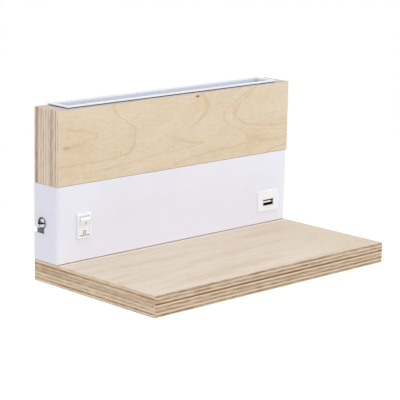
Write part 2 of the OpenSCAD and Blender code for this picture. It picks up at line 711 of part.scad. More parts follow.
module terminal_block() color("white") difference() {
    union() {
        block([block_x0, block_y[0] - block_pitch / 2, in_floor],
            [block_x1, block_y[2] + block_pitch / 2, pole_z + 2]);
        for (y = block_y) block([block_x0, y - block_pitch / 2 + 0.6, in_floor + 1],
            [block_x1, y + block_pitch / 2 - 0.6, in_floor + block_h]);
        block([block_x0 - ear_l, block_y[1] - ear_w / 2, in_floor],
            [block_x0 + 1, block_y[1] + ear_w / 2, in_floor + 2.5]);
    }
    for (y = block_y) translate([0, y, pole_z])
        bar_x(block_x0 - 1, block_x1 + 1, pole_tube_r + pilot_gap);
    for (y = block_y, x = pole_screw_x) translate([x, y, pole_z])
        cylinder(h = block_h, r = pole_screw_r + 0.35);
    translate([block_x0 - ear_l / 2, block_y[1], in_floor - 1])
        cylinder(h = 4.5, r = panel_screw[0] + fit_gap);
}

module terminal_tubes() color("gold") for (y = block_y) difference() {
    translate([0, y, pole_z]) bar_x(block_x0 + 1, block_x1 - 1, pole_tube_r);
    translate([0, y, pole_z]) bar_x(block_x0, block_x1, pole_bore_r);
    for (x = pole_screw_x) translate([x, y, pole_z])
        cylinder(h = pole_tube_r + 1, r = pole_screw_r + pilot_gap);
}

module terminal_screws() color("silver") for (y = block_y, x = pole_screw_x)
    translate([x, y, pole_z + wire_d / 2 + 0.1]) difference() {
        cylinder(h = 3.6, r = pole_screw_r);
        translate([-2, -0.25, 2.9]) cube([4, 0.5, 1]);
    }

module terminal_block_screw() color("silver")
    translate([block_x0 - ear_l / 2, block_y[1], in_floor + 2.5])
        cross_screw(panel_screw, 2.5 + sheet_t - 0.1);

module earth_tag() color("silver") difference() {
    union() {
        translate([earth_x, earth_y, in_floor]) cylinder(h = tag_t, r = 4);
        block([earth_x - tag_l, earth_y - 1.3, in_floor], [earth_x, earth_y + 1.3, in_floor + tag_t]);
        translate([0, earth_y, in_floor + tag_t + wire_d / 2])
            bar_x(earth_x - tag_l, earth_x - tag_l + crimp_l, wire_d / 2 + 0.6);
    }
    translate([0, earth_y, in_floor + tag_t + wire_d / 2])
        bar_x(earth_x - tag_l - 1, earth_x - tag_l + crimp_l + 1, wire_d / 2 + pilot_gap);
    translate([earth_x, earth_y, in_floor - 1])
        cylinder(h = tag_t + 2, r = earth_screw_size[0] + fit_gap);
}

module earth_screw() color("gold") translate([earth_x, earth_y, in_floor + tag_t])
    cross_screw(earth_screw_size, tag_t + sheet_t - 0.1);

// The switch's pieces are drawn round the middle of its front: y = 0 is the case's front face
module at_switch() translate([switch_x, -case_d, switch_z]) children();

// Wedge behind the panel that keeps the switch in its cut-out
module switch_snap() prism_x(-2.5, 2.5) polygon([
    [sheet_t + 0.1, body_h / 2 - 0.5], [sheet_t + 0.1, body_h / 2 + 1],
    [sheet_t + 3.4, body_h / 2], [sheet_t + 3.4, body_h / 2 - 0.5]]);

module switch_body() color("whitesmoke") at_switch() difference() {
    union() {
        intersection() {
            prism_y(-bezel_t, 0) rounded_rect([bezel_w, bezel_h], 1);
            prism_x(-bezel_w, bezel_w)
                chamfered_rect([-bezel_t, -bezel_h / 2], [bezel_t, bezel_h / 2], 0.5);
            prism_z(-bezel_h, bezel_h)
                chamfered_rect([-bezel_w / 2, -bezel_t], [bezel_w / 2, bezel_t], 0.5);
        }
        prism_y(-0.5, body_depth) square([body_w, body_h], center = true);
        switch_snap();
        mirror([0, 0, 1]) switch_snap();
    }
    prism_y(-bezel_t - 1, body_depth - body_floor) square([window_w, window_h], center = true);
    translate([0, pivot_in, 0]) bar_x(-body_w, body_w, pivot_r + running_gap);
    for (z = [0, contact_z]) translate([0, 0, z]) prism_y(body_depth - body_floor - 1, body_depth + 1)
        square([terminal_w, terminal_t] + 2 * pilot_gap * [1, 1], center = true);
}

// The centre terminal carries the lever's rounded fulcrum, the lower one the fixed contact
module switch_terminals() color("gold") at_switch() {
    prism_x(-terminal_w / 2, terminal_w / 2) translate([body_depth - body_floor - 1, -terminal_t / 2])
        square([terminal_end - body_depth + body_floor + 1, terminal_t]);
    prism_x(-lever_w / 2, lever_w / 2) {
        translate([fulcrum_in, -fulcrum_r])
            square([body_depth - body_floor - fulcrum_in, 2 * fulcrum_r]);
        translate([fulcrum_in, 0]) circle(fulcrum_r);
    }
    translate([0, 0, contact_z]) {
        prism_x(-terminal_w / 2, terminal_w / 2)
            translate([body_depth - body_floor - 1, -terminal_t / 2])
                square([terminal_end - body_depth + body_floor + 1, terminal_t]);
        block([-lever_w / 2, fixed_contact_in + contact_t, -contact_r],
            [lever_w / 2, body_depth - body_floor, contact_r]);
        bar_y(fixed_contact_in, fixed_contact_in + contact_t + 0.1, contact_r);
    }
}

// The rocker's pieces are drawn round its pivot in the middle position, and rest switched off
module at_rocker() at_switch() translate([0, pivot_in, 0]) rotate([rocker_swing / 2, 0, 0]) children();

// Side view of the rocker: a shallow V in front, and ends that turn about the pivot
module rocker_outline(front, r, back) intersection() {
    circle(r);
    polygon([[-front, 0], [-front - r * tan(rocker_swing / 2), r], [back, r],
        [back, -r], [-front - r * tan(rocker_swing / 2), -r]]);
}

module switch_rocker() color("white") at_rocker() difference() {
    union() {
        difference() {
            prism_x(-rocker_w / 2, rocker_w / 2)
                rocker_outline(rocker_front, rocker_r, rocker_back);
            prism_x(-rocker_w / 2 + rocker_wall, rocker_w / 2 - rocker_wall)
                rocker_outline(rocker_front - rocker_wall, rocker_r - rocker_wall, rocker_back + 1);
        }
        bar_y(-rocker_front + rocker_wall / 2, stem_end, stem_r);
        both_ends() bar_x(rocker_w / 2 - 0.2, body_w / 2 - 0.1, pivot_r);
    }
    bar_y(-rocker_front + rocker_wall + 0.4, stem_end + 1, stem_bore);
}

module switch_plunger() color("slategray") at_rocker() {
    bar_y(1, plunger_reach - plunger_r, plunger_r);
    translate([0, plunger_reach - plunger_r, 0]) rotate([-90, 0, 0]) dome(plunger_r, plunger_r);
}

module switch_spring() color("silver") at_rocker() {
    turns = 5;
    start_y = -rocker_front + rocker_wall + 0.6;
    end_y = 0.8;
    coil_r = stem_bore - 0.35;
    rod_along([for (i = [0 : 12 * turns]) [coil_r * cos(30 * i),
        start_y + (end_y - start_y) * i / (12 * turns), coil_r * sin(30 * i)]], 0.25, 6);
}

// The lever rocks on the centre terminal; at rest its upper arm is pressed in
module contact_lever() color("goldenrod")
    at_switch() translate([0, fulcrum_in, 0]) rotate([-lever_swing / 2, 0, 0]) {
        block([-lever_w / 2, -fulcrum_r - fulcrum_gap - lever_t, contact_z - contact_r],
            [lever_w / 2, -fulcrum_r - fulcrum_gap, -contact_z]);
        translate([0, -fulcrum_r - fulcrum_gap - 0.1, contact_z])
            bar_y(0, contact_t + 0.1, contact_r);
    }

// The USB socket's pieces are drawn round the middle of its faceplate, y = 0 the case's front
module at_usb() translate([usb_x, -case_d, usb_z]) children();

module usb_faceplate() color("white") at_usb() difference() {
    union() {
        intersection() {
            prism_y(-usb_plate_t, 0) rounded_rect([usb_plate_w, usb_plate_h], 1);
            prism_x(-usb_plate_w, usb_plate_w) chamfered_rect([-usb_plate_t, -usb_plate_h / 2],
                [usb_plate_t, usb_plate_h / 2], 0.3);
            prism_z(-usb_plate_h, usb_plate_h) chamfered_rect([-usb_plate_w / 2, -usb_plate_t],
                [usb_plate_w / 2, usb_plate_t], 0.3);
        }
        difference() {
            prism_y(-0.3, usb_depth - usb_cover_t) square([usb_body_w, usb_body_h], center = true);
            prism_y(1, usb_depth)
                square([usb_body_w - 2 * usb_wall, usb_body_h - 2 * usb_wall], center = true);
        }
        for (x = [-8, 8]) block([x - 0.6, 0.5, -usb_body_h / 2 + usb_wall / 2],
            [x + 0.6, usb_depth - usb_cover_t - 1, usb_board_top - usb_z - usb_board_t]);
    }
    translate([port_dx, 0, port_dz]) prism_y(-usb_plate_t - 1, 2)
        rounded_rect([port_w + 0.2, port_h + 0.2], 0.4);
}

module usb_back_cover() color("white") at_usb()
    prism_y(usb_depth - usb_cover_t, usb_depth) square([usb_body_w, usb_body_h], center = true);

module usb_shell() color("silver") at_usb() translate([port_dx, 0, port_dz]) difference() {
    prism_y(-usb_plate_t + 0.1, -usb_plate_t + port_depth) rounded_rect([port_w, port_h], 0.5);
    prism_y(-usb_plate_t - 1, -usb_plate_t + port_depth - port_t)
        rounded_rect([port_w - 2 * port_t, port_h - 2 * port_t], 0.2);
}

module usb_tongue() color("white") at_usb() translate([port_dx, 0, port_dz]) {
    block([-tongue_w / 2, tongue_in - usb_plate_t, tongue_up - tongue_t / 2],
        [tongue_w / 2, -usb_plate_t + port_depth - port_t, tongue_up + tongue_t / 2]);
    block([-tongue_w / 2, port_depth - 4, -port_h / 2 + port_t],
        [tongue_w / 2, -usb_plate_t + port_depth - port_t, port_h / 2 - port_t]);
}

module usb_contacts() color("gold") at_usb() translate([port_dx, 0, port_dz])
    for (x = [-3.5, -1, 1, 3.5])
        block([x - 0.5, tongue_in - usb_plate_t + 1, tongue_up - tongue_t / 2 - 0.3],
            [x + 0.5, port_depth - 4, tongue_up - tongue_t / 2]);

module usb_board() color("darkgreen") translate([usb_x, -case_d, usb_board_top - usb_board_t])
    block([-10, 3, 0], [10, usb_depth - usb_cover_t - 0.5, usb_board_t]);

module usb_transformer() color("goldenrod") translate([usb_x - 5.5, -case_d + port_depth, usb_board_top])
    block([-4, -0.5, 0], [4, 5, 8]);

module usb_capacitor() color("darkslategray")
    translate([usb_x + 4.5, -case_d + port_depth + 2.2, usb_board_top]) cylinder(h = 8.5, r = 2.4);

// Channel of the bracket: plate on the wall with its two ends folded towards the room
module bracket_channel() difference() {
    prism_z(-flange_h / 2, flange_h / 2) rotate(180)
        translate([0, flange_reach]) case_outline(flange_x, flange_reach, bracket_bend_r + bracket_t);
    prism_z(-flange_h, flange_h) rotate(180) translate([0, flange_reach + 1])
        case_outline(flange_x - bracket_t, flange_reach + 1 - bracket_t, bracket_bend_r);
}

module wall_bracket() color("lightsteelblue") difference() {
    union() {
        intersection() {
            bracket_channel();
            prism_x(-end_x, end_x) rounded_rect([2 * flange_reach, flange_h], 3);
        }
        prism_y(-bracket_t, 0) rounded_rect([2 * bracket_wide_x, bracket_h], 4);
    }
    for (x = [-1, 1]) {
        translate([x * wall_hole_pitch / 2, 0, 0]) bar_y(-bracket_t - 1, 1, wall_hole_r);
        translate([x * wall_slot_pitch / 2, 0, 0]) prism_y(-bracket_t - 1, 1)
            slot_outline(wall_slot_l, wall_hole_r);
    }
    bar_y(-bracket_t - 1, 1, bushing_r);
    translate([0, -clamp_y, 0]) bar_x(-end_x, end_x, clamp_r + 0.25);
}

module weld_nuts() color("silver") both_ends() translate([0, -clamp_y, 0]) difference() {
    translate([flange_x - bracket_t - nut_t, 0, 0]) rotate([0, 90, 0])
        cylinder(h = nut_t, r = nut_flats / 2 / cos(30), $fn = 6);
    bar_x(flange_x - bracket_t - nut_t - 1, flange_x, clamp_r + running_gap);
}

module cable_bushing() color("dimgray") difference() {
    union() {
        bar_y(-bracket_t - bushing_flange_t, 0, bushing_r - 0.02);
        bar_y(-bracket_t - bushing_flange_t, -bracket_t, bushing_flange_r);
    }
    bar_y(-bracket_t - bushing_flange_t - 1, 1, cable_r);
}

// Washer and clamp screw of the right end; the left ones are their mirror images
module washer() translate([0, -clamp_y, 0]) difference() {
    bar_x(end_x, end_x + washer_t, washer_r);
    bar_x(end_x - 1, end_x + washer_t + 1, clamp_r + running_gap);
}

module clamp_screw() translate([end_x + washer_t, -clamp_y, 0]) rotate([0, 90, 0])
    cross_screw([clamp_r, clamp_head_r, clamp_head_h], clamp_l);

module left_washer() color("silver") mirror([1, 0, 0]) washer();
module right_washer() color("silver") washer();
module left_clamp_screw() color("silver") mirror([1, 0, 0]) clamp_screw();
module right_clamp_screw() color("silver") clamp_screw();

module switch_live_wire() color("saddlebrown") wire(live_route);
module switched_live_wire() color("black") wire(switched_route);
module neutral_wire() color("royalblue") wire(neutral_route);
module earth_wire() color("yellowgreen") wire(earth_route);
module usb_wires() {
    color("saddlebrown") wire(usb_live_route);
    color("royalblue") wire(usb_neutral_route);
}
module led_wires() {
    color("black") wire(led_minus_route);
    color("red") wire(led_plus_route);
}

metal_housing();
plywood_hood();
shelf_board();
light_tray();
diffuser_plate();
led_board();
led_chips();
led_board_screws();
tray_screws();
tray_grommet();
housing_grommet();
hood_screws();
shelf_screws();
driver_case();
driver_lid();
driver_board();
driver_transformer();
driver_capacitor();
driver_screws();
terminal_block();
terminal_tubes();
terminal_screws();
terminal_block_screw();
earth_tag();
earth_screw();
switch_body();
switch_terminals();
switch_rocker();
switch_plunger();
switch_spring();
contact_lever();
usb_faceplate();
usb_back_cover();
usb_shell();
usb_tongue();
usb_contacts();
usb_board();
usb_transformer();
usb_capacitor();
wall_bracket();
weld_nuts();
cable_bushing();
left_washer();
left_clamp_screw();
right_washer();
right_clamp_screw();
switch_live_wire();
switched_live_wire();
neutral_wire();
earth_wire();
usb_wires();
led_wires();
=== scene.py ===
import json
import math

import bmesh
import bpy
from mathutils import Matrix, Quaternion, Vector


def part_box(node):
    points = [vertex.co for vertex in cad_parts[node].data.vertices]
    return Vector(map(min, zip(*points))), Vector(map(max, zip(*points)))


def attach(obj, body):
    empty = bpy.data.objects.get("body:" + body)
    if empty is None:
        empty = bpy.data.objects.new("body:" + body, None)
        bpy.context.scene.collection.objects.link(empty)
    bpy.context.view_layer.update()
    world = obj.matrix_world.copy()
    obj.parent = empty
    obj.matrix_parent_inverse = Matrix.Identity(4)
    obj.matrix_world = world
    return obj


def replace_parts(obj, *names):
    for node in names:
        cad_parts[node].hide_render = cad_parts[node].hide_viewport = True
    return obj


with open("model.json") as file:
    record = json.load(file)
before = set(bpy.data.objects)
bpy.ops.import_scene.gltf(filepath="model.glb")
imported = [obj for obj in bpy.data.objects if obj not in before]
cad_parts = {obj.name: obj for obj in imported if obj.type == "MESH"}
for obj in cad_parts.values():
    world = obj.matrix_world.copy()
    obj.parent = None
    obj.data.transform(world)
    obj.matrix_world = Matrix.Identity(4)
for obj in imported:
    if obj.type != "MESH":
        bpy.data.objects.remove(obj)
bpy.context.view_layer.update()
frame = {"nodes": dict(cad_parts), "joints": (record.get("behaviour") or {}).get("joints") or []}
packed = frame["nodes"]

# Studio: the camera stands to the lamp's front left and a little above it. A large soft light
# stands in front of it and one hangs above it, with even light all round. The pale floor is far
# below, because the lamp hangs on a wall. A black flag gives bright metal something dark to mirror.
CAMERA_PLACE = Vector((-0.9824, -1.0691, 0.3220))
CAMERA_AIM = Vector((-0.0166, -0.0736, 0.0137))
CAMERA_ROLL = math.radians(1.17)
CAMERA_LENS = 152.34
FLOOR_Z = -0.55
FLOOR_SIZE = 4.0
FLOOR_GREY = 0.85
SHADOW_GREY = 0.6
SHADOW_GLOW = 0.6
ROOM_LIGHT = 0.96
ROOM_TINT = (0.97, 0.985, 1, 1)
FLAG_R = 1.5
FLAG_TOP = 0.82
FLAG_SLOPE = 0.4
FLAG_END_X = 0.3

scene = bpy.context.scene
camera = bpy.data.objects.new("camera", bpy.data.cameras.new("camera"))
camera.data.sensor_width = 36.0
camera.data.lens = CAMERA_LENS
camera.location = CAMERA_PLACE
aimed = (CAMERA_AIM - CAMERA_PLACE).to_track_quat("-Z", "Y")
camera.rotation_euler = (aimed @ Quaternion((0, 0, 1), CAMERA_ROLL)).to_euler()
scene.collection.objects.link(camera)
scene.camera = camera
scene.view_settings.view_transform = "Standard"


def hang_light(name, place, size, power):
    """A square soft light that faces the lamp"""
    light = bpy.data.lights.new(name, "AREA")
    light.size = size
    light.energy = power
    holder = bpy.data.objects.new(name, light)
    holder.location = place
    holder.rotation_euler = (-Vector(place)).to_track_quat("-Z", "Y").to_euler()
    scene.collection.objects.link(holder)


hang_light("front_softbox", place=(0.6, -2.0, 0.7), size=1.4, power=6.0)
hang_light("top_softbox", place=(0.0, -0.5, 2.1), size=1.2, power=7.0)


def put(tree, kind, sockets, **settings):
    """Adds a shader node and fills its sockets with values or with other nodes' outputs"""
    made = tree.nodes.new("ShaderNode" + kind)
    for name, value in settings.items():
        setattr(made, name, value)
    for socket, value in sockets.items():
        if isinstance(value, bpy.types.NodeSocket):
            tree.links.new(value, made.inputs[socket])
        else:
            made.inputs[socket].default_value = value
    return made


def calc(tree, operation, *values):
    """One piece of arithmetic on numbers or outputs"""
    return put(tree, "Math", dict(enumerate(values)), operation=operation).outputs[0]


def seen_directly(tree):
    """1 for what the camera sees straight, in a mirror or through glass, and 0 for other light"""
    path = tree.nodes.new("ShaderNodeLightPath")
    mirrored = calc(tree, "MAXIMUM", path.outputs["Is Camera Ray"], path.outputs["Is Glossy Ray"])
    return calc(tree, "MAXIMUM", mirrored, path.outputs["Is Transmission Ray"])


world = bpy.data.worlds.new("studio")
scene.world = world
world.use_nodes = True
world.node_tree.nodes.clear()
shown = put(world.node_tree, "Background", {"Color": (1, 1, 1, 1), "Strength": 1.0})
lighting = put(world.node_tree, "Background", {"Color": ROOM_TINT, "Strength": ROOM_LIGHT})
either = put(world.node_tree, "MixShader",
             {0: seen_directly(world.node_tree), 1: lighting.outputs[0], 2: shown.outputs[0]})
put(world.node_tree, "OutputWorld", {"Surface": either.outputs[0]})

floor_shape = bmesh.new()
bmesh.ops.create_grid(floor_shape, x_segments=1, y_segments=1, size=FLOOR_SIZE / 2)
bmesh.ops.translate(floor_shape, vec=(0, 0, FLOOR_Z), verts=floor_shape.verts)
floor_mesh = bpy.data.meshes.new("floor")
floor_shape.to_mesh(floor_mesh)
floor_shape.free()
floor = bpy.data.objects.new("floor", floor_mesh)
scene.collection.objects.link(floor)
floor_finish = bpy.data.materials.new("pale_floor")
floor_finish.use_nodes = True
floor_tree = floor_finish.node_tree
floor_tree.nodes.clear()
matt = put(floor_tree, "BsdfDiffuse", {"Color": (FLOOR_GREY,) * 3 + (1,)})
shaded = put(floor_tree, "BsdfDiffuse", {"Color": (SHADOW_GREY,) * 3 + (1,)})
glow = put(floor_tree, "Emission", {"Color": (1, 1, 1, 1), "Strength": SHADOW_GLOW})
white_floor = put(floor_tree, "AddShader", {0: shaded.outputs[0], 1: glow.outputs[0]})
floor_look = put(floor_tree, "MixShader",
                 {0: seen_directly(floor_tree), 1: matt.outputs[0], 2: white_floor.outputs[0]})
put(floor_tree, "OutputMaterial", {"Surface": floor_look.outputs[0]})
floor_mesh.materials.append(floor_finish)

flag_shape = bmesh.new()
bmesh.ops.create_circle(flag_shape, radius=FLAG_R, segments=96,
                        matrix=Matrix.Translation((0, 0, FLOOR_Z)))
standing = bmesh.ops.extrude_edge_only(flag_shape, edges=flag_shape.edges[:])
upper = [part for part in standing["geom"] if isinstance(part, bmesh.types.BMVert)]
bmesh.ops.translate(flag_shape, vec=(0, 0, 2 * FLAG_R), verts=upper)
for cut_at, cut_away in (((0, 0, FLAG_TOP), (0, -FLAG_SLOPE, 1)), ((FLAG_END_X, 0, 0), (1, 0, 0))):
    cloth = flag_shape.verts[:] + flag_shape.edges[:] + flag_shape.faces[:]
    bmesh.ops.bisect_plane(flag_shape, geom=cloth, plane_co=cut_at, plane_no=cut_away,
                           clear_outer=True)
flag_mesh = bpy.data.meshes.new("black_flag")
flag_shape.to_mesh(flag_mesh)
flag_shape.free()
flag = bpy.data.objects.new("black_flag", flag_mesh)
scene.collection.objects.link(flag)
flag_cloth = bpy.data.materials.new("black_cloth")
flag_cloth.use_nodes = True
flag_cloth.node_tree.nodes["Principled BSDF"].inputs["Base Color"].default_value = (0, 0, 0, 1)
flag_mesh.materials.append(flag_cloth)
for rays in ("camera", "diffuse", "shadow", "transmission"):
    setattr(flag, "visible_" + rays, False)


# Wall bracket: a 1.5 mm steel plate that is screwed to the wall, with folded ends and a welded
# M4 nut on each. Both are zinc plated: cloudy blue-grey with fine rolling lines along the plate.
ZINC_LIGHT = (152, 165, 180)
ZINC_DARK = (132, 146, 162)
ZINC_CLOUD = 0.014
ZINC_ROUGHNESS = (0.42, 0.60)
ZINC_METALLIC = 0.55
ROLLING_LINE = 0.0003
ROLLING_DEPTH = 5e-6
CLOUD_RANGE = (0.3, 0.7)


def paint(red, green, blue):
    """A colour of 0 to 255 on the screen, as the shaders take it"""
    shares = [value / 255 for value in (red, green, blue)]
    return tuple(s / 12.92 if s < 0.04 else ((s + 0.055) / 1.055) ** 2.4 for s in shares) + (1,)


def rise(tree, value, low, high, start=0.0, end=1.0):
    """A soft step from start to end while value goes from low to high"""
    sockets = {"Value": value, "From Min": low, "From Max": high, "To Min": start, "To Max": end}
    return put(tree, "MapRange", sockets, interpolation_type="SMOOTHSTEP").outputs[0]


def between(tree, share, first, second):
    """A colour between two others"""
    return put(tree, "Mix", {0: share, 6: first, 7: second}, data_type="RGBA").outputs[2]


def cloud(tree, place, size, detail=2.0):
    """Soft random patches about size metres across, whose values mostly lie in CLOUD_RANGE"""
    sockets = {"Vector": place, "Scale": 1 / size, "Detail": detail}
    return put(tree, "TexNoise", sockets).outputs[0]


def number_along(tree, vector, axis):
    """One of a vector's three numbers"""
    return put(tree, "SeparateXYZ", {0: vector}).outputs[axis]


def stretched(tree, place, along):
    """Places scaled along each axis: a small number draws a pattern out"""
    return put(tree, "Mapping", {"Vector": place, "Scale": along}).outputs[0]


def emboss(tree, shader, height, depth):
    """Adds relief of that depth in metres to what the shader already has"""
    relief = put(tree, "Bump", {"Height": height, "Distance": depth})
    if shader.inputs["Normal"].is_linked:
        tree.links.new(shader.inputs["Normal"].links[0].from_socket, relief.inputs["Normal"])
    tree.links.new(relief.outputs[0], shader.inputs["Normal"])


def feed(tree, shader, name, source):
    """Joins a pattern to one of the shader's sockets"""
    tree.links.new(source, shader.inputs[name])


def colour_of(shader):
    """The colour pattern that a shader has so far"""
    return shader.inputs["Base Color"].links[0].from_socket


def new_finish(name, metallic=0.0):
    """A bare finish, with its node tree, its shader and the places on the piece"""
    finish = bpy.data.materials.new(name)
    finish.use_nodes = True
    tree = finish.node_tree
    shader = tree.nodes["Principled BSDF"]
    shader.inputs["Metallic"].default_value = metallic
    place = tree.nodes.new("ShaderNodeTexCoord").outputs["Object"]
    return finish, tree, shader, place


def mottled(name, light, dark, patch, roughness, grain, depth, metallic=0.0):
    """A finish whose colour and gloss drift over patches that many metres across, with a fine
    grain of that size and depth in relief"""
    finish, tree, shader, place = new_finish(name, metallic)
    drift = rise(tree, cloud(tree, place, patch, 4.0), *CLOUD_RANGE)
    feed(tree, shader, "Base Color", between(tree, drift, paint(*dark), paint(*light)))
    feed(tree, shader, "Roughness", rise(tree, cloud(tree, place, patch / 3), *CLOUD_RANGE, *roughness))
    emboss(tree, shader, cloud(tree, place, grain), depth)
    return finish, tree, shader, place


def dress(finish, *names):
    """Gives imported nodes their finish"""
    for name in names:
        for holder in packed[name].material_slots:
            holder.material = finish


zinc, tree, shader, place = mottled(
    "zinc_plate", ZINC_LIGHT, ZINC_DARK, patch=ZINC_CLOUD, roughness=ZINC_ROUGHNESS,
    grain=0.0004, depth=4e-6, metallic=ZINC_METALLIC)
lines = cloud(tree, stretched(tree, place, (0.02, 1, 1)), ROLLING_LINE)
emboss(tree, shader, lines, ROLLING_DEPTH)
dress(zinc, "wall_bracket", "weld_nuts")


# Cable bushing and grommets: dull black rubber with a little pale dust from the mould. The wall's
# cable comes in through the bushing in the bracket's hole, and the light's wires go up through
# the grommets, which are snapped into the case's top and the tray's floor.
RUBBER = (30, 30, 32)
RUBBER_DUST = (52, 52, 54)
rubber = mottled("black_rubber", RUBBER_DUST, RUBBER, patch=0.002, roughness=(0.62, 0.85),
                 grain=0.0003, depth=1.5e-5)[0]
dress(rubber, "cable_bushing", "tray_grommet", "housing_grommet")


# Case: 1.2 mm steel sheet, folded and welded at the corners, powder coated white. The coat has
# a fine orange peel, and here and there a nib of dust under it. Low on the front the coat is
# painted a shade paler than the real case: painted light that makes up for the shelf's warm shade on
# it.
COAT_LIGHT = (233, 232, 241)
COAT_DARK = (230, 229, 238)
COAT_DRIFT = 0.05
COAT_ROUGHNESS = (0.40, 0.52)
PEEL = 0.0016
PEEL_DEPTH = 1.1e-5
NIB_SPACING = 0.02
NIB_SHARE = 0.012
NIB_HEIGHT = 3e-5
COAT_PAINTED_LIGHT = (237, 236, 246)
CASE_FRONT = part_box("metal_housing")[0].y
CASE_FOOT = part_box("metal_housing")[0].z
PAINTED_LIGHT_HEIGHT = 0.0425
PAINTED_LIGHT_DEPTH = 0.003

coat, tree, shader, place = mottled(
    "white_powder_coat", COAT_LIGHT, COAT_DARK, patch=COAT_DRIFT, roughness=COAT_ROUGHNESS,
    grain=PEEL, depth=PEEL_DEPTH)
emboss(tree, shader, cloud(tree, place, PEEL / 5), PEEL_DEPTH / 6)
nibs = put(tree, "TexVoronoi", {"Vector": place, "Scale": 1 / NIB_SPACING}).outputs["Distance"]
emboss(tree, shader, rise(tree, nibs, 0.0, NIB_SHARE, 1.0, 0.0), NIB_HEIGHT)
# Painted light: low on the front the coat is blended paler, to make up for the shelf's shade.
painted_light_low_down = rise(tree, number_along(tree, place, "Z"), CASE_FOOT, CASE_FOOT + PAINTED_LIGHT_HEIGHT, 1.0, 0.0)
painted_light_in_front = rise(tree, number_along(tree, place, "Y"), CASE_FRONT, CASE_FRONT + PAINTED_LIGHT_DEPTH, 1.0, 0.0)
low = calc(tree, "MULTIPLY", painted_light_low_down, painted_light_in_front)
feed(tree, shader, "Base Color", between(tree, low, colour_of(shader), paint(*COAT_PAINTED_LIGHT)))
dress(coat, "metal_housing")


# Screws inside the lamp: zinc plated steel with a pressed cross. They hold the hood, the shelf and
# the tray in the wood, and the light board, the driver and the terminal block in the sheet metal.
# The terminal block's six clamping screws have no head, only a slot.
SCREW_ZINC = (196, 198, 200)
SCREW_ZINC_DULL = (150, 154, 160)

screw_zinc = mottled("screw_zinc", SCREW_ZINC, SCREW_ZINC_DULL, patch=0.0015,
                     roughness=(0.22, 0.42), grain=0.0002, depth=4e-6, metallic=1.0)[0]
dress(screw_zinc, "led_board_screws", "tray_screws", "hood_screws", "shelf_screws",
      "driver_screws", "terminal_screws", "terminal_block_screw")


# Lighting driver: a moulded box that hangs under the case's top by two screwed ears. Posts on its
# lid carry the board, with a transformer wound in yellow tape and a capacitor in a black shrunk
# sleeve with a pale stripe down one side.
DRIVER_PLASTIC = ((222, 222, 218), (212, 212, 208))
BOARD_GREEN = (22, 84, 52)
TRACK_GREEN = (46, 122, 76)
TIN = (176, 178, 178)
TRACK_SPACING = 0.0026
TRACKS_IN_FIELD = 2.6
PAD_SPACING = TRACK_SPACING / 0.6
COPPER_THICK = 2e-5
TAPE = (214, 178, 44)
TAPE_OVERLAP = (178, 142, 30)
TAPE_TURN = 0.0011
OVERLAP_FROM = 0.75
TAPE_THICK = 5e-5
SLEEVE = (28, 30, 36)
SLEEVE_STRIPE = (168, 172, 178)
STRIPE_HALF_ANGLE = 0.34
STRIPE_RIM = 0.04


def moulded(name, light, dark):
    """Plain moulded plastic: even, half matt, with a fine spark-eroded grain"""
    return mottled(name, light, dark, patch=0.02, roughness=(0.32, 0.44), grain=0.00035,
                   depth=4e-6)


def etched_board(name, mask, track, pad):
    """A circuit board: copper under its mask, in angled fields, and small tinned pads"""
    finish, tree, shader, place = mottled(name, mask, mask, patch=0.01, roughness=(0.30, 0.42),
                                          grain=0.0008, depth=3e-6)
    fields = put(tree, "TexVoronoi", {"Vector": place, "Scale": 1 / TRACK_SPACING},
                 distance="CHEBYCHEV", feature="F2").outputs["Distance"]
    copper = rise(tree, calc(tree, "FRACT", calc(tree, "MULTIPLY", fields, TRACKS_IN_FIELD)), 0.45, 0.5)
    pads = put(tree, "TexVoronoi", {"Vector": place, "Scale": 1 / PAD_SPACING}).outputs[0]
    tinned = rise(tree, pads, 0.16, 0.2, 1.0, 0.0)
    masked = between(tree, copper, paint(*mask), paint(*track))
    feed(tree, shader, "Base Color", between(tree, tinned, masked, paint(*pad)))
    emboss(tree, shader, calc(tree, "ADD", copper, tinned), COPPER_THICK)
    return finish


def middle(name):
    """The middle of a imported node's box"""
    low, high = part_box(name)
    return (low + high) / 2


driver_plastic = moulded("grey_white_plastic", *DRIVER_PLASTIC)[0]
dress(driver_plastic, "driver_case", "driver_lid")
green_board = etched_board("green_circuit_board", BOARD_GREEN, TRACK_GREEN, TIN)
dress(green_board, "driver_board", "usb_board")

tape, tree, shader, place = mottled("yellow_tape", TAPE, TAPE, patch=0.004,
                                    roughness=(0.25, 0.4), grain=0.0008, depth=1e-5)
height = number_along(tree, place, "Z")
turns = calc(tree, "FRACT", calc(tree, "DIVIDE", height, TAPE_TURN))
feed(tree, shader, "Base Color",
     between(tree, rise(tree, turns, OVERLAP_FROM, 1.0), paint(*TAPE), paint(*TAPE_OVERLAP)))
emboss(tree, shader, turns, TAPE_THICK)
dress(tape, "driver_transformer", "usb_transformer")


def sleeve_on(name):
    """The sleeve of one capacitor, whose stripe runs down the side that faces the front"""
    finish, tree, shader, place = mottled("black_sleeve." + name, SLEEVE, SLEEVE, patch=0.003,
                                          roughness=(0.22, 0.36), grain=0.0009, depth=8e-6)
    away = put(tree, "VectorMath", {0: place, 1: middle(name)}, operation="SUBTRACT").outputs[0]
    below = calc(tree, "MULTIPLY", number_along(tree, away, "Z"), -1.0)
    angle = calc(tree, "ABSOLUTE", calc(tree, "ARCTAN2", number_along(tree, away, "X"), below))
    stripe = rise(tree, angle, STRIPE_HALF_ANGLE, STRIPE_HALF_ANGLE + STRIPE_RIM, 1.0, 0.0)
    feed(tree, shader, "Base Color", between(tree, stripe, paint(*SLEEVE), paint(*SLEEVE_STRIPE)))
    dress(finish, name)


sleeve_on("driver_capacitor")
sleeve_on("usb_capacitor")


# Terminal block: a body of natural nylon with three brass tubes, each with its two clamping
# screws. Beside it the earth tag, nickel plated, under a brass screw on the case's floor.
NYLON = ((236, 232, 218), (226, 220, 202))
BRASS = ((214, 178, 106), (176, 138, 72))
NICKEL = ((204, 200, 190), (172, 168, 160))
TURNING_MARK = 0.00015
TURNING_DEPTH = 3e-6


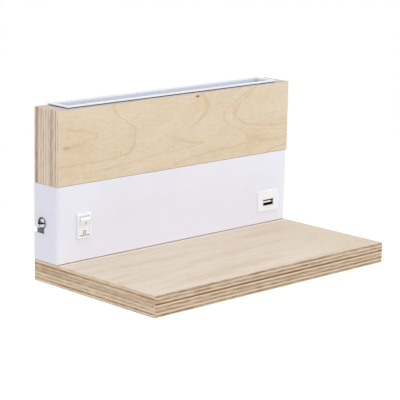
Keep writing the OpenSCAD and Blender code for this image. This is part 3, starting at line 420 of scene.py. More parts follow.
def let_in(shader, share, reach):
    """Lets a share of the light into a pale plastic, with its reach in metres for red, green, blue"""
    shader.inputs["Subsurface Weight"].default_value = share
    shader.inputs["Subsurface Radius"].default_value = reach


nylon, tree, shader, place = mottled("natural_nylon", *NYLON, patch=0.008,
                                     roughness=(0.35, 0.5), grain=0.0006, depth=8e-6)
let_in(shader, share=0.15, reach=(0.003, 0.0025, 0.002))
dress(nylon, "terminal_block")
brass, tree, shader, place = mottled("brass", *BRASS, patch=0.003, roughness=(0.2, 0.38),
                                     grain=0.0002, depth=5e-6, metallic=1.0)
turned = cloud(tree, stretched(tree, place, (1, 1, 0.05)), TURNING_MARK)
emboss(tree, shader, turned, TURNING_DEPTH)
dress(brass, "terminal_tubes", "earth_screw", "switch_terminals", "contact_lever", "usb_contacts")
nickel = mottled("nickel_plate", *NICKEL, patch=0.004, roughness=(0.18, 0.32), grain=0.0003,
                 depth=3e-6, metallic=1.0)[0]
dress(nickel, "earth_tag")


# Wires inside the case: PVC insulated, 1.6 mm over the insulation, in their usual colours. The
# packed rods have eight flats, so each is replaced by a round one on the same line.
WIRE_R = 0.0008
ROUNDING_LOSS = 0.098
SHARP_ANGLE = 1.0
ROUNDING_STEPS = 2
END_CREASE = 0.9
PLAIN_COLOURS = {"brown_insulation": (96, 58, 34), "blue_insulation": (42, 82, 150),
                 "black_insulation": (26, 26, 28), "red_insulation": (168, 30, 28)}
FADED = 0.85
STRIPE_BLEND = 0.05
EARTH_GREEN = (38, 128, 62)
EARTH_YELLOW = (224, 200, 52)


def sharp_edges(shape):
    """The edges round the cut ends of a rod"""
    return [edge for edge in shape.edges if edge.calc_face_angle(0.0) > SHARP_ANGLE]


def rods_of(node):
    """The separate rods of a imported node, each as a merged shape of its own"""
    whole = bmesh.new()
    whole.from_mesh(packed[node].data)
    bmesh.ops.remove_doubles(whole, verts=whole.verts, dist=1e-6)
    whole.verts.ensure_lookup_table()
    owner = [-1] * len(whole.verts)
    count = 0
    for first in whole.verts:
        if owner[first.index] >= 0:
            continue
        reached = [first]
        owner[first.index] = count
        while reached:
            for edge in reached.pop().link_edges:
                for vert in edge.verts:
                    if owner[vert.index] < 0:
                        owner[vert.index] = count
                        reached.append(vert)
        count += 1
    rods = []
    for number in range(count):
        rod = whole.copy()
        rod.verts.ensure_lookup_table()
        spare = [vert for vert in rod.verts if owner[vert.index] != number]
        bmesh.ops.delete(rod, geom=spare, context="VERTS")
        rods.append(rod)
    whole.free()
    return rods


def show(shape, name, body, finish, smooth=True):
    """Makes a shape an object that rides on a body, in its finish"""
    mesh = bpy.data.meshes.new(name)
    for face in shape.faces:
        face.smooth = smooth
    shape.to_mesh(mesh)
    shape.free()
    mesh.materials.append(finish)
    piece = bpy.data.objects.new(name, mesh)
    scene.collection.objects.link(piece)
    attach(piece, body)
    return piece


def round_wire(rod, name, finish):
    """Rounds a rod with eight flats: the flats are joined, moved out by what rounding takes, and
    rounded"""
    bmesh.ops.join_triangles(rod, faces=rod.faces, angle_face_threshold=0.7,
                             angle_shape_threshold=1.4)
    rod.normal_update()
    crease = rod.edges.layers.float.new("crease_edge")
    ends = sharp_edges(rod)
    held = {vert for edge in ends for vert in edge.verts}
    for vert in rod.verts:
        if vert not in held:
            vert.co += vert.normal * WIRE_R * ROUNDING_LOSS
    for edge in ends:
        edge[crease] = END_CREASE
    piece = show(rod, name, "lamp", finish)
    rounding = piece.modifiers.new("rounding", "SUBSURF")
    rounding.levels = ROUNDING_STEPS
    rounding.render_levels = ROUNDING_STEPS
    return piece


def insulation(name, colour):
    """Extruded PVC, a little glossy, with faint marks from handling"""
    painted_shade = tuple(int(value * FADED) for value in colour)
    return mottled(name, colour, painted_shade, patch=0.01, roughness=(0.28, 0.45), grain=0.0006,
                   depth=5e-6)


covers = {name: insulation(name, colour)[0] for name, colour in PLAIN_COLOURS.items()}
earth_cover, tree, shader, place = insulation("green_yellow_insulation", EARTH_GREEN)
covers["green_yellow_insulation"] = earth_cover
facing = number_along(tree, tree.nodes.new("ShaderNodeNewGeometry").outputs["Normal"], "Y")
stripe = rise(tree, facing, -STRIPE_BLEND, STRIPE_BLEND)
feed(tree, shader, "Base Color", between(tree, stripe, paint(*EARTH_YELLOW), paint(*EARTH_GREEN)))
# The record has no red finish and gives both wires of the light the black one's slot; here the plus
# wire is drawn in red.
for node, wires in {
    "switch_live_wire": [("live_to_switch", "brown_insulation")],
    "switched_live_wire": [("switched_live", "black_insulation")],
    "neutral_wire": [("neutral_to_driver", "blue_insulation")],
    "earth_wire": [("earth_to_case", "green_yellow_insulation")],
    "usb_wires": [("live_to_usb", "brown_insulation"), ("neutral_to_usb", "blue_insulation")],
    "led_wires": [("light_minus", "black_insulation"), ("light_plus", "red_insulation")],
}.items():
    for rod, (name, cover) in zip(rods_of(node), wires):
        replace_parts(round_wire(rod, name, covers[cover]), node)


# Rocker switch: a white moulded body and frame, snapped into the case, and the rocker on its own
# trunnions with a sprung plunger of grey acetal that tips the brass contact lever behind it. The
# marks for on and off are printed on the rocker in dark grey.
WHITE_PLASTIC = ((244, 244, 246), (240, 240, 242))
ACETAL = ((128, 131, 134), (112, 115, 118))
MARK_INK = ((64, 66, 70), (54, 56, 60))
# At rest the rocker lies fully over to one side, half its travel from level.
rocker_joint = next(joint for joint in frame["joints"] if joint["name"] == "rocker_tilt")
ROCKER_TILT = math.radians(rocker_joint["range_deg"][1] / 2)
ROCKER_FRONT = 0.0034
SPRING_COIL_R = 0.0009
SPRING_WIRE_R = 0.000125
SPRING_START = -0.0016
SPRING_END = 0.0008
SPRING_TURNS = 5
TURN_STEPS = 24
MARK_PROUD = 0.00003
ON_MARK = (0.0006, 0.0025)
ON_MARK_ROUND = ON_MARK[0] / 2.2
ON_PLACE = (0.0004, 0.0034)
OFF_MARK_R = 0.0017
OFF_MARK_LINE = 0.00055
OFF_PLACE = (0.0, -0.0045)

white_plastic, tree, shader, place = moulded("white_plastic", *WHITE_PLASTIC)
let_in(shader, share=0.25, reach=(0.002, 0.002, 0.002))
dress(white_plastic, "switch_body", "switch_rocker", "usb_faceplate", "usb_back_cover")
acetal = moulded("grey_acetal", *ACETAL)[0]
dress(acetal, "switch_plunger")

rocker_place = Matrix.Translation(rocker_joint["pos_m"]) @ Matrix.Rotation(ROCKER_TILT, 4, "X")
spring_shape = bmesh.new()
bmesh.ops.create_circle(spring_shape, cap_ends=True, radius=SPRING_WIRE_R, segments=12,
                        matrix=Matrix.Translation((SPRING_COIL_R, SPRING_START, 0)))
wire_end = spring_shape.faces[:] + spring_shape.edges[:] + spring_shape.verts[:]
bmesh.ops.spin(spring_shape, geom=wire_end, cent=(0, 0, 0), axis=(0, -1, 0),
               angle=2 * math.pi * SPRING_TURNS,
               dvec=(0, (SPRING_END - SPRING_START) / (SPRING_TURNS * TURN_STEPS), 0),
               steps=SPRING_TURNS * TURN_STEPS, use_merge=False)
bmesh.ops.recalc_face_normals(spring_shape, faces=spring_shape.faces)
bmesh.ops.transform(spring_shape, matrix=rocker_place, verts=spring_shape.verts)
spring_piece = show(spring_shape, "rocker_spring", "rocker", screw_zinc)
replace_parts(spring_piece, "switch_spring")

mark_ink = mottled("mark_ink", *MARK_INK, patch=0.001, roughness=(0.4, 0.55), grain=0.0002,
                   depth=3e-6)[0]


def on_rocker(across, along):
    """Where a mark lies: across the rocker and along one of its two front faces, facing out"""
    lean = ROCKER_TILT if along > 0 else -ROCKER_TILT
    depth = -ROCKER_FRONT - abs(along) * math.tan(ROCKER_TILT)
    return (rocker_place @ Matrix.Translation((across, depth, along))
            @ Matrix.Rotation(lean + math.radians(90), 4, "X"))


on_shape = bmesh.new()
bmesh.ops.create_cube(on_shape, size=1.0)
bmesh.ops.scale(on_shape, vec=(*ON_MARK, 2 * MARK_PROUD), verts=on_shape.verts)
upright = [edge for edge in on_shape.edges
           if abs(edge.verts[0].co.z - edge.verts[1].co.z) > MARK_PROUD]
bmesh.ops.bevel(on_shape, geom=upright, offset=ON_MARK_ROUND, offset_type="OFFSET",
                affect="EDGES", segments=4, profile=0.5, material=-1)
bmesh.ops.transform(on_shape, matrix=on_rocker(*ON_PLACE), verts=on_shape.verts)
show(on_shape, "on_mark", "rocker", mark_ink, smooth=False)

off_shape = bmesh.new()
bmesh.ops.create_circle(off_shape, cap_ends=True, radius=OFF_MARK_R, segments=40)
bmesh.ops.translate(off_shape, vec=(0, 0, -MARK_PROUD), verts=off_shape.verts)
bmesh.ops.inset_region(off_shape, faces=off_shape.faces[:], thickness=OFF_MARK_LINE,
                       use_boundary=True, use_even_offset=True)
middle_face = max(off_shape.faces, key=lambda face: len(face.verts))
bmesh.ops.delete(off_shape, geom=[middle_face], context="FACES_ONLY")
raised = bmesh.ops.extrude_face_region(off_shape, geom=off_shape.faces[:])
raised_verts = [part for part in raised["geom"] if isinstance(part, bmesh.types.BMVert)]
bmesh.ops.translate(off_shape, vec=(0, 0, 2 * MARK_PROUD), verts=raised_verts)
bmesh.ops.recalc_face_normals(off_shape, faces=off_shape.faces)
bmesh.ops.transform(off_shape, matrix=on_rocker(*OFF_PLACE), verts=off_shape.verts)
show(off_shape, "off_mark", "rocker", mark_ink, smooth=False)


# USB socket: a white plate with a type A opening. Its nickel shell is painted dark inside, and the
# white tongue in it is painted grey behind its nose: painted shade of the socket's recess.
SHELL_NICKEL = ((198, 197, 194), (178, 177, 174))
SHELL_PAINTED_SHADE = (58, 57, 56)
SHELL_UNSHADED_DEPTH = 0.0024
TONGUE_WHITE = ((246, 246, 247), (242, 242, 243))
TONGUE_PAINTED_SHADE = (92, 93, 96)
NOSE_DEPTH = 0.0014
MOUTH_DEPTH = 0.0002


def painted_shade_behind(name, made, unshaded_depth, painted_shade):
    """Dresses a node in a finish that turns to a painted shade colour over its first bit of depth"""
    finish, tree, shader, place = made
    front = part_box(name)[0].y
    behind = calc(tree, "SUBTRACT", number_along(tree, place, "Y"), front)
    feed(tree, shader, "Base Color",
         between(tree, rise(tree, behind, MOUTH_DEPTH, unshaded_depth), colour_of(shader), paint(*painted_shade)))
    dress(finish, name)


shell_nickel = mottled("usb_shell_nickel", *SHELL_NICKEL, patch=0.003, roughness=(0.35, 0.5),
                       grain=0.0004, depth=4e-6, metallic=1.0)
painted_shade_behind("usb_shell", shell_nickel, SHELL_UNSHADED_DEPTH, SHELL_PAINTED_SHADE)
painted_shade_behind("usb_tongue", moulded("tongue_plastic", *TONGUE_WHITE), NOSE_DEPTH, TONGUE_PAINTED_SHADE)


# Shelf: 18 mm birch plywood, 13 plies, sanded and oiled, screwed up against the case. Every other
# ply runs across, so along any edge pale ply sides and darker ply ends take turns. One ply is dark
# along the front, and one has streaks of resin at both ends.
SHELF_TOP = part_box("shelf_board")[1].z
# The patterns of both pieces of wood are laid out in millimetres.
MM = 1000.0
SHELF_VENEER = 0.6
FRONT_VENEER = 0.3
SHELF_PLY = 1.52
PLY_COLOURS = ((230, 209, 182), (150, 110, 71), (140, 92, 50))
FRONT_PLY_COLOURS = ((217, 196, 169), (134, 97, 64), (126, 84, 46))
SHELF_FRONT_PLIES = (0.25, 0.6, 0.1, 0.65, 0.25, 1.0, 0.0, 0.55, 0.25, 0.65, 0.0, 0.7, 0.1)
SHELF_SIDE_PLIES = (0.2, 0.05, 0.65, 0.2, 0.5, 0.35, 0.5, 0.1, 0.4, 0.05, 0.65, 0.1, 0.5)
SHELF_FACE = (223, 211, 196)
SHELF_STREAK = (204, 183, 157)
PALE_TO_X = 20.0
WARM_FROM_X = 120.0
UNDER_CASE_Y = CASE_FRONT * MM
PAINTED_SHADE_UNDER_CASE = (146, 92, 64)
PAINTED_LIGHT_NEAR_CASE = (235, 221, 204)
PAINTED_LIGHT_REACH = 9.0
RESIN = (176, 122, 70)
RESIN_DEPTH = 3.3
RESIN_FRONT_Y = (-136.0, -120.0)
RESIN_BACK_Y = (-104.0, -70.0)
DARK_PLY = (112, 72, 50)
DARK_PLY_DEPTH = 6.85
DARK_PLY_X = -6.0
DARK_PLY_REACH = (30.0, 62.0)
RIGHT_END_STRENGTH = 0.4
WOOD_SHINE = 0.3
GRAIN_DEPTH = 2.5e-5
# Grain: how much it is drawn out along X, its size in metres and its detail.
SHELF_BROAD = (0.12, 0.012, 3.0)
SHELF_FINE = (0.05, 0.0008, 3.0)
SHELF_FLECK = (0.25, 0.0012, 2.0)
FIBRE = 0.0007
FIBRE_STRETCH = 0.08
FIBRE_CONTRAST = 0.22
PLY_WAVER = 0.12
GLUE_LINE = (0.42, 0.49)
GLUE_STRENGTH = 0.55


def mm(tree, place, axis):
    """How far places lie along an axis, in millimetres"""
    return calc(tree, "MULTIPLY", number_along(tree, place, axis), MM)


def grain(tree, place, stretch, size, detail):
    """Soft patches drawn out along X, the way the board's fibres run"""
    return cloud(tree, stretched(tree, place, (stretch, 1, 1)), size, detail)


def ply_edge(tree, depth, along, veneer, ply, tones, colours):
    """Plywood seen on edge. depth is how many millimetres places lie behind the first face, along
    is places drawn out along the edge, and tones has one share for each ply: 0 for the pale side
    of a ply, 1 for its dark end"""
    side, end, glue = (paint(*colour) for colour in colours)
    waver = rise(tree, cloud(tree, along, 0.012), *CLOUD_RANGE, -PLY_WAVER, PLY_WAVER)
    level = calc(tree, "DIVIDE", calc(tree, "SUBTRACT", calc(tree, "ADD", depth, waver), veneer),
                 ply)
    share = calc(tree, "DIVIDE", calc(tree, "ADD", level, 1.0), float(len(tones)))
    chart = put(tree, "ValToRGB", {0: share})
    bands = chart.color_ramp
    bands.interpolation = "CONSTANT"
    for number, tone in enumerate(tones):
        start = number / len(tones)
        band = bands.elements[number] if number < 2 else bands.elements.new(start)
        band.position = start
        band.color = (tone, tone, tone, 1)
    fibre = rise(tree, cloud(tree, along, FIBRE, 3.0), 0.32, 0.68, -FIBRE_CONTRAST, FIBRE_CONTRAST)
    patch = rise(tree, cloud(tree, along, 0.004), 0.35, 0.7, -0.1, 0.12)
    tone = calc(tree, "ADD", chart.outputs["Color"], calc(tree, "ADD", fibre, patch))
    joint = calc(tree, "ABSOLUTE", calc(tree, "SUBTRACT", calc(tree, "FRACT", level), 0.5))
    glued = rise(tree, joint, *GLUE_LINE, 0.0, GLUE_STRENGTH)
    return between(tree, glued, between(tree, tone, side, end), glue)


def off_level(tree, depth, level, near, far):
    """1 up to near millimetres above or below a depth in the wood, 0 from far on"""
    away = calc(tree, "ABSOLUTE", calc(tree, "SUBTRACT", depth, level))
    return rise(tree, away, near, far, 1.0, 0.0)


def face_share(tree, axis):
    """1 where the surface faces along an axis, 0 where it lies along it"""
    normal = tree.nodes.new("ShaderNodeNewGeometry").outputs["True Normal"]
    return calc(tree, "ABSOLUTE", number_along(tree, normal, axis))


def lay_out(tree, shader, face_axis, face, long_edge, side_edge, fine, roughness):
    """Gives a board's faces, long edges and sides their patterns, with its fine grain in relief"""
    edge = between(tree, rise(tree, face_share(tree, "X"), 0.4, 0.6), long_edge, side_edge)
    on_face = rise(tree, face_share(tree, face_axis), 0.8, 0.9)
    feed(tree, shader, "Base Color", between(tree, on_face, edge, face))
    feed(tree, shader, "Roughness", rise(tree, fine, *CLOUD_RANGE, *roughness))
    emboss(tree, shader, fine, GRAIN_DEPTH)
    shader.inputs["Specular IOR Level"].default_value = WOOD_SHINE


shelf_wood, tree, shader, place = new_finish("birch_plywood_shelf")
depth = calc(tree, "SUBTRACT", SHELF_TOP * MM, mm(tree, place, "Z"))
along_x = stretched(tree, place, (FIBRE_STRETCH, 1, 1))
along_y = stretched(tree, place, (1, FIBRE_STRETCH, 1))
front_edge = ply_edge(tree, depth, along_x, FRONT_VENEER, SHELF_PLY, SHELF_FRONT_PLIES,
                      FRONT_PLY_COLOURS)
side_edge = ply_edge(tree, depth, along_y, SHELF_VENEER, SHELF_PLY, SHELF_SIDE_PLIES,
                     PLY_COLOURS)
broad = grain(tree, place, *SHELF_BROAD)
fine = grain(tree, place, *SHELF_FINE)
fleck = grain(tree, place, *SHELF_FLECK)
streak = calc(tree, "ADD", rise(tree, broad, 0.42, 0.72, 0.02, 0.45),
              rise(tree, fine, *CLOUD_RANGE, -0.08, 0.32))
streak = calc(tree, "ADD", streak, rise(tree, fleck, *CLOUD_RANGE, -0.13, 0.18))
face = between(tree, streak, paint(*SHELF_FACE), paint(*SHELF_STREAK))
right_end = rise(tree, mm(tree, place, "X"), PALE_TO_X, WARM_FROM_X, 0.0, RIGHT_END_STRENGTH)
face = between(tree, right_end, face, paint(*SHELF_STREAK))
back = mm(tree, place, "Y")
# Painted light: the shelf's face is blended paler close to the case, to make up for the case's shade on
# it.
painted_light_near_case = rise(tree, back, UNDER_CASE_Y - PAINTED_LIGHT_REACH, UNDER_CASE_Y)
face = between(tree, painted_light_near_case, face, paint(*PAINTED_LIGHT_NEAR_CASE))
# Painted shade: a dark strip where the face meets the case, for the shadow in the seam.
painted_shade_step = rise(tree, back, UNDER_CASE_Y - 0.5, UNDER_CASE_Y + 0.2)
face = between(tree, painted_shade_step, face, paint(*PAINTED_SHADE_UNDER_CASE))
aside = calc(tree, "ABSOLUTE", calc(tree, "SUBTRACT", mm(tree, place, "X"), DARK_PLY_X))
dark_ply = calc(tree, "MULTIPLY", rise(tree, aside, *DARK_PLY_REACH, 0.75, 0.0),
                off_level(tree, depth, DARK_PLY_DEPTH, 0.2, 0.55))
front_edge = between(tree, dark_ply, front_edge, paint(*DARK_PLY))
resin = calc(tree, "MAXIMUM", rise(tree, back, *RESIN_FRONT_Y, 0.85, 0.0),
             rise(tree, back, *RESIN_BACK_Y, 0.0, 0.5))
resin = calc(tree, "MULTIPLY", resin, off_level(tree, depth, RESIN_DEPTH, 0.3, 0.9))
side_edge = between(tree, resin, side_edge, paint(*RESIN))
lay_out(tree, shader, "Z", face, front_edge, side_edge, fine, roughness=(0.42, 0.6))
dress(shelf_wood, "shelf_board")


# Hood: 30 mm birch plywood, standing, with its face to the front and the slot for the light
# milled down through it. The front veneer is peeled, so its growth rings run in wide figures,
# with a few small knots.
HOOD_VENEER = 0.6
HOOD_PLY = 1.516
HOOD_SIDE_PLIES = (0.4, 0.35, 1.0, 0.75, 0.4, 0.1, 0.55, 0.1, 0.45, 0.0, 0.45,
                   0.0, 0.45, 0.2, 0.6, 0.55, 0.6, 0.0, 0.8, 0.05, 0.5)
HOOD_TOP_PLIES = (0.5, 0.2, 0.6) + (0.15, 0.55) * 9
HOOD_SIDE_COLOURS = ((236, 219, 202), (172, 138, 106), (176, 146, 118))
HOOD_TOP_COLOURS = ((206, 194, 186), (180, 166, 156), (172, 156, 146))
RIM_SHADE = 0.3
RIM_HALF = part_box("light_tray")[1].x * MM + RIM_SHADE
RIM_FRONT_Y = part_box("light_tray")[0].y * MM - RIM_SHADE
RIM_BLEND = 0.4
PAINTED_SHADE_UNDER_RIM = (96, 70, 54)
VENEER = (223, 207, 182)
VENEER_WARM = (213, 190, 160)
GROWTH_LINE = (213, 182, 144)
KNOT = (104, 72, 48)
KNOT_HALO = (200, 168, 130)
HALO_SIZE = 2.2
HALO_STRENGTH = 0.5
SMUDGE = (188, 174, 148)
HOOD_FINE = (0.06, 0.0006, 3.0)
HOOD_FLECK = (0.22, 0.0008, 2.0)
BROAD_SIZE = 0.016
WAVER_SIZE = 0.004
PATCH_SIZE = 0.006
WAVER = 0.9
WAVER_UP = 0.6
SOFT_SIDE = 3.2
FADE_IN = 0.12
FADE_OUT = 0.95
BACK_LINE_SPACING = 11.0
BACK_LINE_BEND = 5.0
BACK_FROM_DEPTH = (14.0, 16.0)
# Knots and blotches: X and Z of the middle, half the width and half the height, in millimetres,
# then the colour or the strength. Growth lines: the width, the strength, and the points as X, Z
# from left to right, or as Z, X for those that climb.
KNOTS = ((20.4, 92.6, 2.4, 0.9, KNOT), (-126.0, 64.0, 3.2, 1.4, SMUDGE),
         (-67.3, 53.5, 0.6, 0.6, SMUDGE))
LINES_ALONG = (
    (0.9, 1.0, ((-128, 79), (-115, 77), (-104, 75), (-96, 72.5), (-90.5, 70.4))),
    (-0.9, 1.0, ((-130, 63), (-119, 64.7), (-106, 67.2), (-97, 69.4), (-90.5, 70.4))),
    (0.8, 1.0, ((-140, 48.2), (-97, 48.6), (-77, 49.3), (-66, 50), (-58, 52), (-52, 56.5))),
    (0.7, 0.6, ((-140, 40.5), (-84, 41.6), (-59, 43.4), (-34, 45.4), (-14, 49.1), (-2.5, 54))),
    (-0.8, 0.5, ((-18, 65), (-11.7, 60.3), (-6, 57), (-2.5, 54))),
    (-0.8, 0.7, ((-12, 65), (-3, 58.5), (9, 54.5), (21, 52.6), (31, 51.5))),
    (0.7, 0.5, ((-20, 46.5), (5, 48.3), (19, 50), (31, 51.5))),
    (-0.8, 0.8, ((-12, 34.5), (6, 38.8), (22, 41), (41, 42.5), (62, 43.5), (73, 44.2), (84, 47))),
    (0.9, 0.8, ((70, 67), (83, 61.5), (95, 59), (103, 58.3), (140, 56))),
    (1.2, 0.7, ((80, 54), (88, 48), (98, 45), (112, 44), (140, 45.5))),
    (-1.0, 1.0, ((106, 33.5), (116, 36.8), (124, 38.2), (140, 38.6))),
    (0.6, 0.4, ((82, 59), (92, 55.5), (106, 54), (140, 52.5))),
    (0.6, 0.35, ((86, 52), (98, 49.8), (114, 49), (140, 49.6))),
    (-0.6, 0.35, ((30, 36), (58, 38.6), (84, 39.5), (104, 41.2))),
    (0.6, 0.3, ((-128, 52.6), (-112, 52), (-92, 53), (-70, 54.2), (-60, 55.4))),
)
LINES_UP = (
    (-1.0, 1.0, ((50, -63), (54, -54), (60, -51.5), (66.5, -52), (71.4, -49.6), (74, -53),
                 (80, -61.6), (87.6, -71.6), (97, -76))),
    (0.9, 1.0, ((46, 86), (52, 82), (58, 73), (62.7, 61), (70, 53), (76.4, 54.4), (83, 65.7),
                (91, 80.6), (97, 90))),
    (1.4, 0.9, ((62, 80), (66.5, 72), (72.7, 65.7), (80, 70.6), (89, 83), (97, 93))),
    (-2.4, 0.9, ((64, 13), (69, 20), (74, 28), (79, 32.5), (84, 33.7), (91, 29.5), (97, 24))),
    (1.0, 0.7, ((78, 24), (81, 19), (85, 17.5), (89, 19), (92, 22))),
)
BLOTCHES = ((-56, 56.5, 6, 3, 0.6), (35, 80, 6, 9, 0.45), (92, 49, 10, 7, 0.55),
            (-100, 36.5, 9, 1.3, 0.5), (-79, 41.6, 10, 1.1, 0.5), (-110, 62, 16, 9, 0.25),
            (127, 61, 9, 3, 0.5), (68, 78, 9, 8, 0.35), (20, 84, 14, 10, 0.25),
            (-118, 60, 46, 34, 0.3), (88, 52, 44, 24, 0.2))


def growth_line(tree, run, off, width, strength, points):
    """A growth line of the veneer. points say, in millimetres, how far off it lies as it runs on.
    It is sharp on one side, over width, soft on the other, and fades out at both ends; a width
    below 0 turns the sides round"""
    first, last = points[0][0], points[-1][0]
    low = min(point[1] for point in points)
    span = max(point[1] for point in points) - low
    share = calc(tree, "DIVIDE", calc(tree, "SUBTRACT", run, first), last - first)
    course = put(tree, "FloatCurve", {"Value": share})
    curve = course.mapping.curves[0]
    for number, (along, side) in enumerate(points):
        spot = ((along - first) / (last - first), (side - low) / span)
        if number in (0, len(points) - 1):
            curve.points[0 if number == 0 else -1].location = spot
        else:
            curve.points.new(*spot)
    course.mapping.update()
    lies = calc(tree, "ADD", calc(tree, "MULTIPLY", course.outputs[0], span), low)
    away = calc(tree, "DIVIDE", calc(tree, "SUBTRACT", off, lies), width)
    line = calc(tree, "MULTIPLY", rise(tree, away, -1.0, 0.0, 0.0, strength),
                rise(tree, away, 0.0, SOFT_SIDE, 1.0, 0.0))
    fade = calc(tree, "MULTIPLY", rise(tree, share, 0.0, FADE_IN),
                rise(tree, share, FADE_OUT, 1.0, 1.0, 0.0))
    return calc(tree, "MULTIPLY", line, fade)


def distance(tree, first, second):
    """How far a place is that lies that much to one side and that much up"""
    squares = [calc(tree, "MULTIPLY", side, side) for side in (first, second)]
    return calc(tree, "SQRT", calc(tree, "ADD", *squares))


def oval(tree, across, up, knot, grow):
    """Distance from a knot's middle, 1 at its rim, for a knot that is grow times as large"""
    middle_x, middle_z, half_w, half_h = knot
    along = calc(tree, "DIVIDE", calc(tree, "SUBTRACT", across, middle_x), half_w * grow)
    over = calc(tree, "DIVIDE", calc(tree, "SUBTRACT", up, middle_z), half_h * grow)
    return distance(tree, along, over)


hood_wood, tree, shader, place = new_finish("birch_plywood_hood")
across = mm(tree, place, "X")
up = mm(tree, place, "Z")
depth = calc(tree, "MULTIPLY", mm(tree, place, "Y"), -1.0)
flat = stretched(tree, place, (0.4, 0.0, 1))
waver = rise(tree, cloud(tree, flat, WAVER_SIZE, 3.0), *CLOUD_RANGE, -WAVER, WAVER)
across_wavy = calc(tree, "ADD", across, waver)
up_wavy = calc(tree, "ADD", up, calc(tree, "MULTIPLY", waver, WAVER_UP))
fine = grain(tree, place, *HOOD_FINE)
fleck = grain(tree, place, *HOOD_FLECK)
broad = cloud(tree, flat, BROAD_SIZE, 3.0)
warm = calc(tree, "ADD", rise(tree, broad, 0.38, 0.7, 0.0, 0.4),
            rise(tree, fine, 0.35, 0.7, -0.1, 0.35))
warm = calc(tree, "ADD", warm, rise(tree, fleck, *CLOUD_RANGE, -0.25, 0.3))
face = between(tree, warm, paint(*VENEER), paint(*VENEER_WARM))
wandering = cloud(tree, stretched(tree, place, (0.6, 0, 1)), 0.07, 3.0)
bend = calc(tree, "MULTIPLY", wandering, BACK_LINE_BEND)
level = calc(tree, "FRACT", calc(tree, "ADD", calc(tree, "DIVIDE", up, BACK_LINE_SPACING), bend))
back_line = calc(tree, "MULTIPLY", rise(tree, level, 0.8, 0.96, 0.0, 0.45),
                 rise(tree, level, 0.96, 1.0, 1.0, 0.0))
back_face = between(tree, back_line, face, paint(*GROWTH_LINE))
flecked = rise(tree, fleck, 0.3, 0.65, 0.6, 1.0)
for *blotch, strength in BLOTCHES:
    stain = rise(tree, oval(tree, across_wavy, up_wavy, blotch, 1.0), 0.2, 1.1, strength, 0.0)
    face = between(tree, calc(tree, "MULTIPLY", stain, flecked), face, paint(*GROWTH_LINE))
patchy = rise(tree, cloud(tree, flat, PATCH_SIZE, 3.0), 0.3, 0.6, 0.4, 0.85)
for run, off, lines in ((across, up_wavy, LINES_ALONG), (up, across_wavy, LINES_UP)):
    for width, strength, points in lines:
        line = growth_line(tree, run, off, width, strength, points)
        face = between(tree, calc(tree, "MULTIPLY", line, patchy), face, paint(*GROWTH_LINE))
for *knot, colour in KNOTS:
    halo = rise(tree, oval(tree, across, up, knot, HALO_SIZE), 0.2, 1.0, HALO_STRENGTH, 0.0)
    face = between(tree, halo, face, paint(*KNOT_HALO))
    heart = rise(tree, oval(tree, across, up, knot, 1.0), 0.5, 1.15, 1.0, 0.0)
    face = between(tree, heart, face, paint(*colour))
face = between(tree, rise(tree, depth, *BACK_FROM_DEPTH), back_face, face)
along_z = stretched(tree, place, (1, 1, FIBRE_STRETCH))
side_edge = ply_edge(tree, depth, along_z, HOOD_VENEER, HOOD_PLY, HOOD_SIDE_PLIES,
                     HOOD_SIDE_COLOURS)
along_x = stretched(tree, place, (FIBRE_STRETCH, 1, 1))
top_edge = ply_edge(tree, depth, along_x, HOOD_VENEER, HOOD_PLY, HOOD_TOP_PLIES,
                    HOOD_TOP_COLOURS)
from_middle = calc(tree, "ABSOLUTE", across)
# Painted shade: the hood's top under and just round the tray's rim is dark, for the shadow in the gap
# beneath the rim.
painted_shade_under_rim = calc(tree, "MULTIPLY", rise(tree, from_middle, RIM_HALF - RIM_BLEND, RIM_HALF, 1.0, 0.0),
                 rise(tree, mm(tree, place, "Y"), RIM_FRONT_Y, RIM_FRONT_Y + RIM_BLEND))
top_edge = between(tree, painted_shade_under_rim, top_edge, paint(*PAINTED_SHADE_UNDER_RIM))
lay_out(tree, shader, "Y", face, top_edge, side_edge, fine, roughness=(0.45, 0.62))
dress(hood_wood, "plywood_hood")


# Light tray: folded from 1 mm steel sheet, sunk in the hood's slot with its rim just above the
# wood, and screwed to it at both ends. Its rim has a full white coat; below the rim its inner
# walls are painted grey-blue, as painted shade of the deep, narrow recess.
RIM_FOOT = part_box("plywood_hood")[1].z + 0.0003
COAT_BLEND = 0.0004
RIM_COAT = (240, 240, 246)
INNER_WALL_PAINTED_SHADE = (205, 210, 220)

tray_coat, tree, shader, place = mottled(
    "tray_powder_coat", RIM_COAT, COAT_LIGHT, patch=COAT_DRIFT, roughness=COAT_ROUGHNESS,
    grain=PEEL, depth=PEEL_DEPTH)
# Painted shade: below the rim's foot the inner walls take a grey-blue colour.
painted_shade_step = rise(tree, number_along(tree, place, "Z"), RIM_FOOT, RIM_FOOT + COAT_BLEND)
feed(tree, shader, "Base Color", between(tree, painted_shade_step, paint(*INNER_WALL_PAINTED_SHADE), colour_of(shader)))
dress(tray_coat, "light_tray")


# Light: an opal acrylic plate on the tray's ledges, and under it the white light board with its
# row of chips, each a white body with a round field of yellow phosphor.
OPAL = ((243, 243, 241), (238, 238, 236))
WHITE_BOARD = (232, 233, 230)
WHITE_TRACK = (222, 224, 220)
CHIP_WHITE = (236, 236, 232)
PHOSPHOR = (232, 196, 70)
PHOSPHOR_R = 0.00115
PHOSPHOR_DEPTH = 4e-5
CHIP_PITCH = 0.016

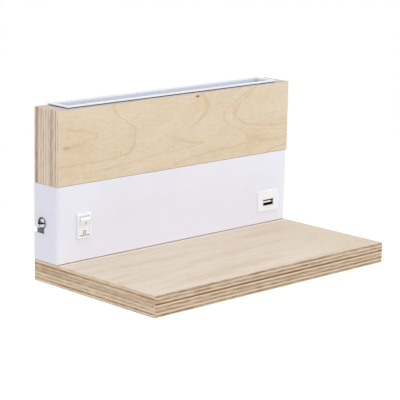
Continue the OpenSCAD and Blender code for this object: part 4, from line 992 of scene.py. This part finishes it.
opal, tree, shader, place = mottled("opal_acrylic", *OPAL, patch=0.03, roughness=(0.16, 0.28),
                                    grain=0.004, depth=4e-6)
let_in(shader, share=0.4, reach=(0.004, 0.004, 0.004))
dress(opal, "diffuser_plate")
white_board = etched_board("white_circuit_board", WHITE_BOARD, WHITE_TRACK, TIN)
dress(white_board, "led_board")
phosphor, tree, shader, place = mottled("chip_phosphor", CHIP_WHITE, CHIP_WHITE, patch=0.002,
                                        roughness=(0.35, 0.5), grain=0.0002, depth=4e-6)
on_pitch = calc(tree, "FLOORED_MODULO", number_along(tree, place, "X"), CHIP_PITCH)
off_middle = calc(tree, "SUBTRACT", on_pitch, CHIP_PITCH / 2)
off_row = calc(tree, "SUBTRACT", number_along(tree, place, "Y"), middle("light_tray").y)
yellow = rise(tree, distance(tree, off_middle, off_row), PHOSPHOR_R, PHOSPHOR_R * 1.08, 1.0, 0.0)
feed(tree, shader, "Base Color", between(tree, yellow, paint(*CHIP_WHITE), paint(*PHOSPHOR)))
emboss(tree, shader, yellow, -PHOSPHOR_DEPTH)
dress(phosphor, "led_chips")


# Clamp screws and washers: M4 dome-head screws and plain washers, chrome plated and polished,
# which hold the case to the bracket's nuts. The thread starts behind the washer.
CHROME = ((206, 208, 212), (190, 192, 196))
SHANK_R = 0.0021
THREAD_PITCH = 0.0007
THREAD_DEPTH = 0.0003

chrome, tree, shader, place = mottled("polished_chrome", *CHROME, patch=0.002,
                                      roughness=(0.06, 0.12), grain=0.0008, depth=2e-6,
                                      metallic=1.0)
aside = calc(tree, "SUBTRACT", number_along(tree, place, "Y"), middle("left_clamp_screw").y)
above = number_along(tree, place, "Z")
turned = calc(tree, "DIVIDE", calc(tree, "ARCTAN2", above, aside), 2 * math.pi)
pitches = calc(tree, "DIVIDE", number_along(tree, place, "X"), THREAD_PITCH)
flank = calc(tree, "PINGPONG", calc(tree, "ADD", pitches, turned), 0.5)
on_shank = rise(tree, distance(tree, aside, above), SHANK_R, SHANK_R * 1.02, 1.0, 0.0)
threaded = calc(tree, "MULTIPLY", flank, on_shank)
emboss(tree, shader, threaded, THREAD_DEPTH)
dress(chrome, "left_washer", "left_clamp_screw", "right_washer", "right_clamp_screw")
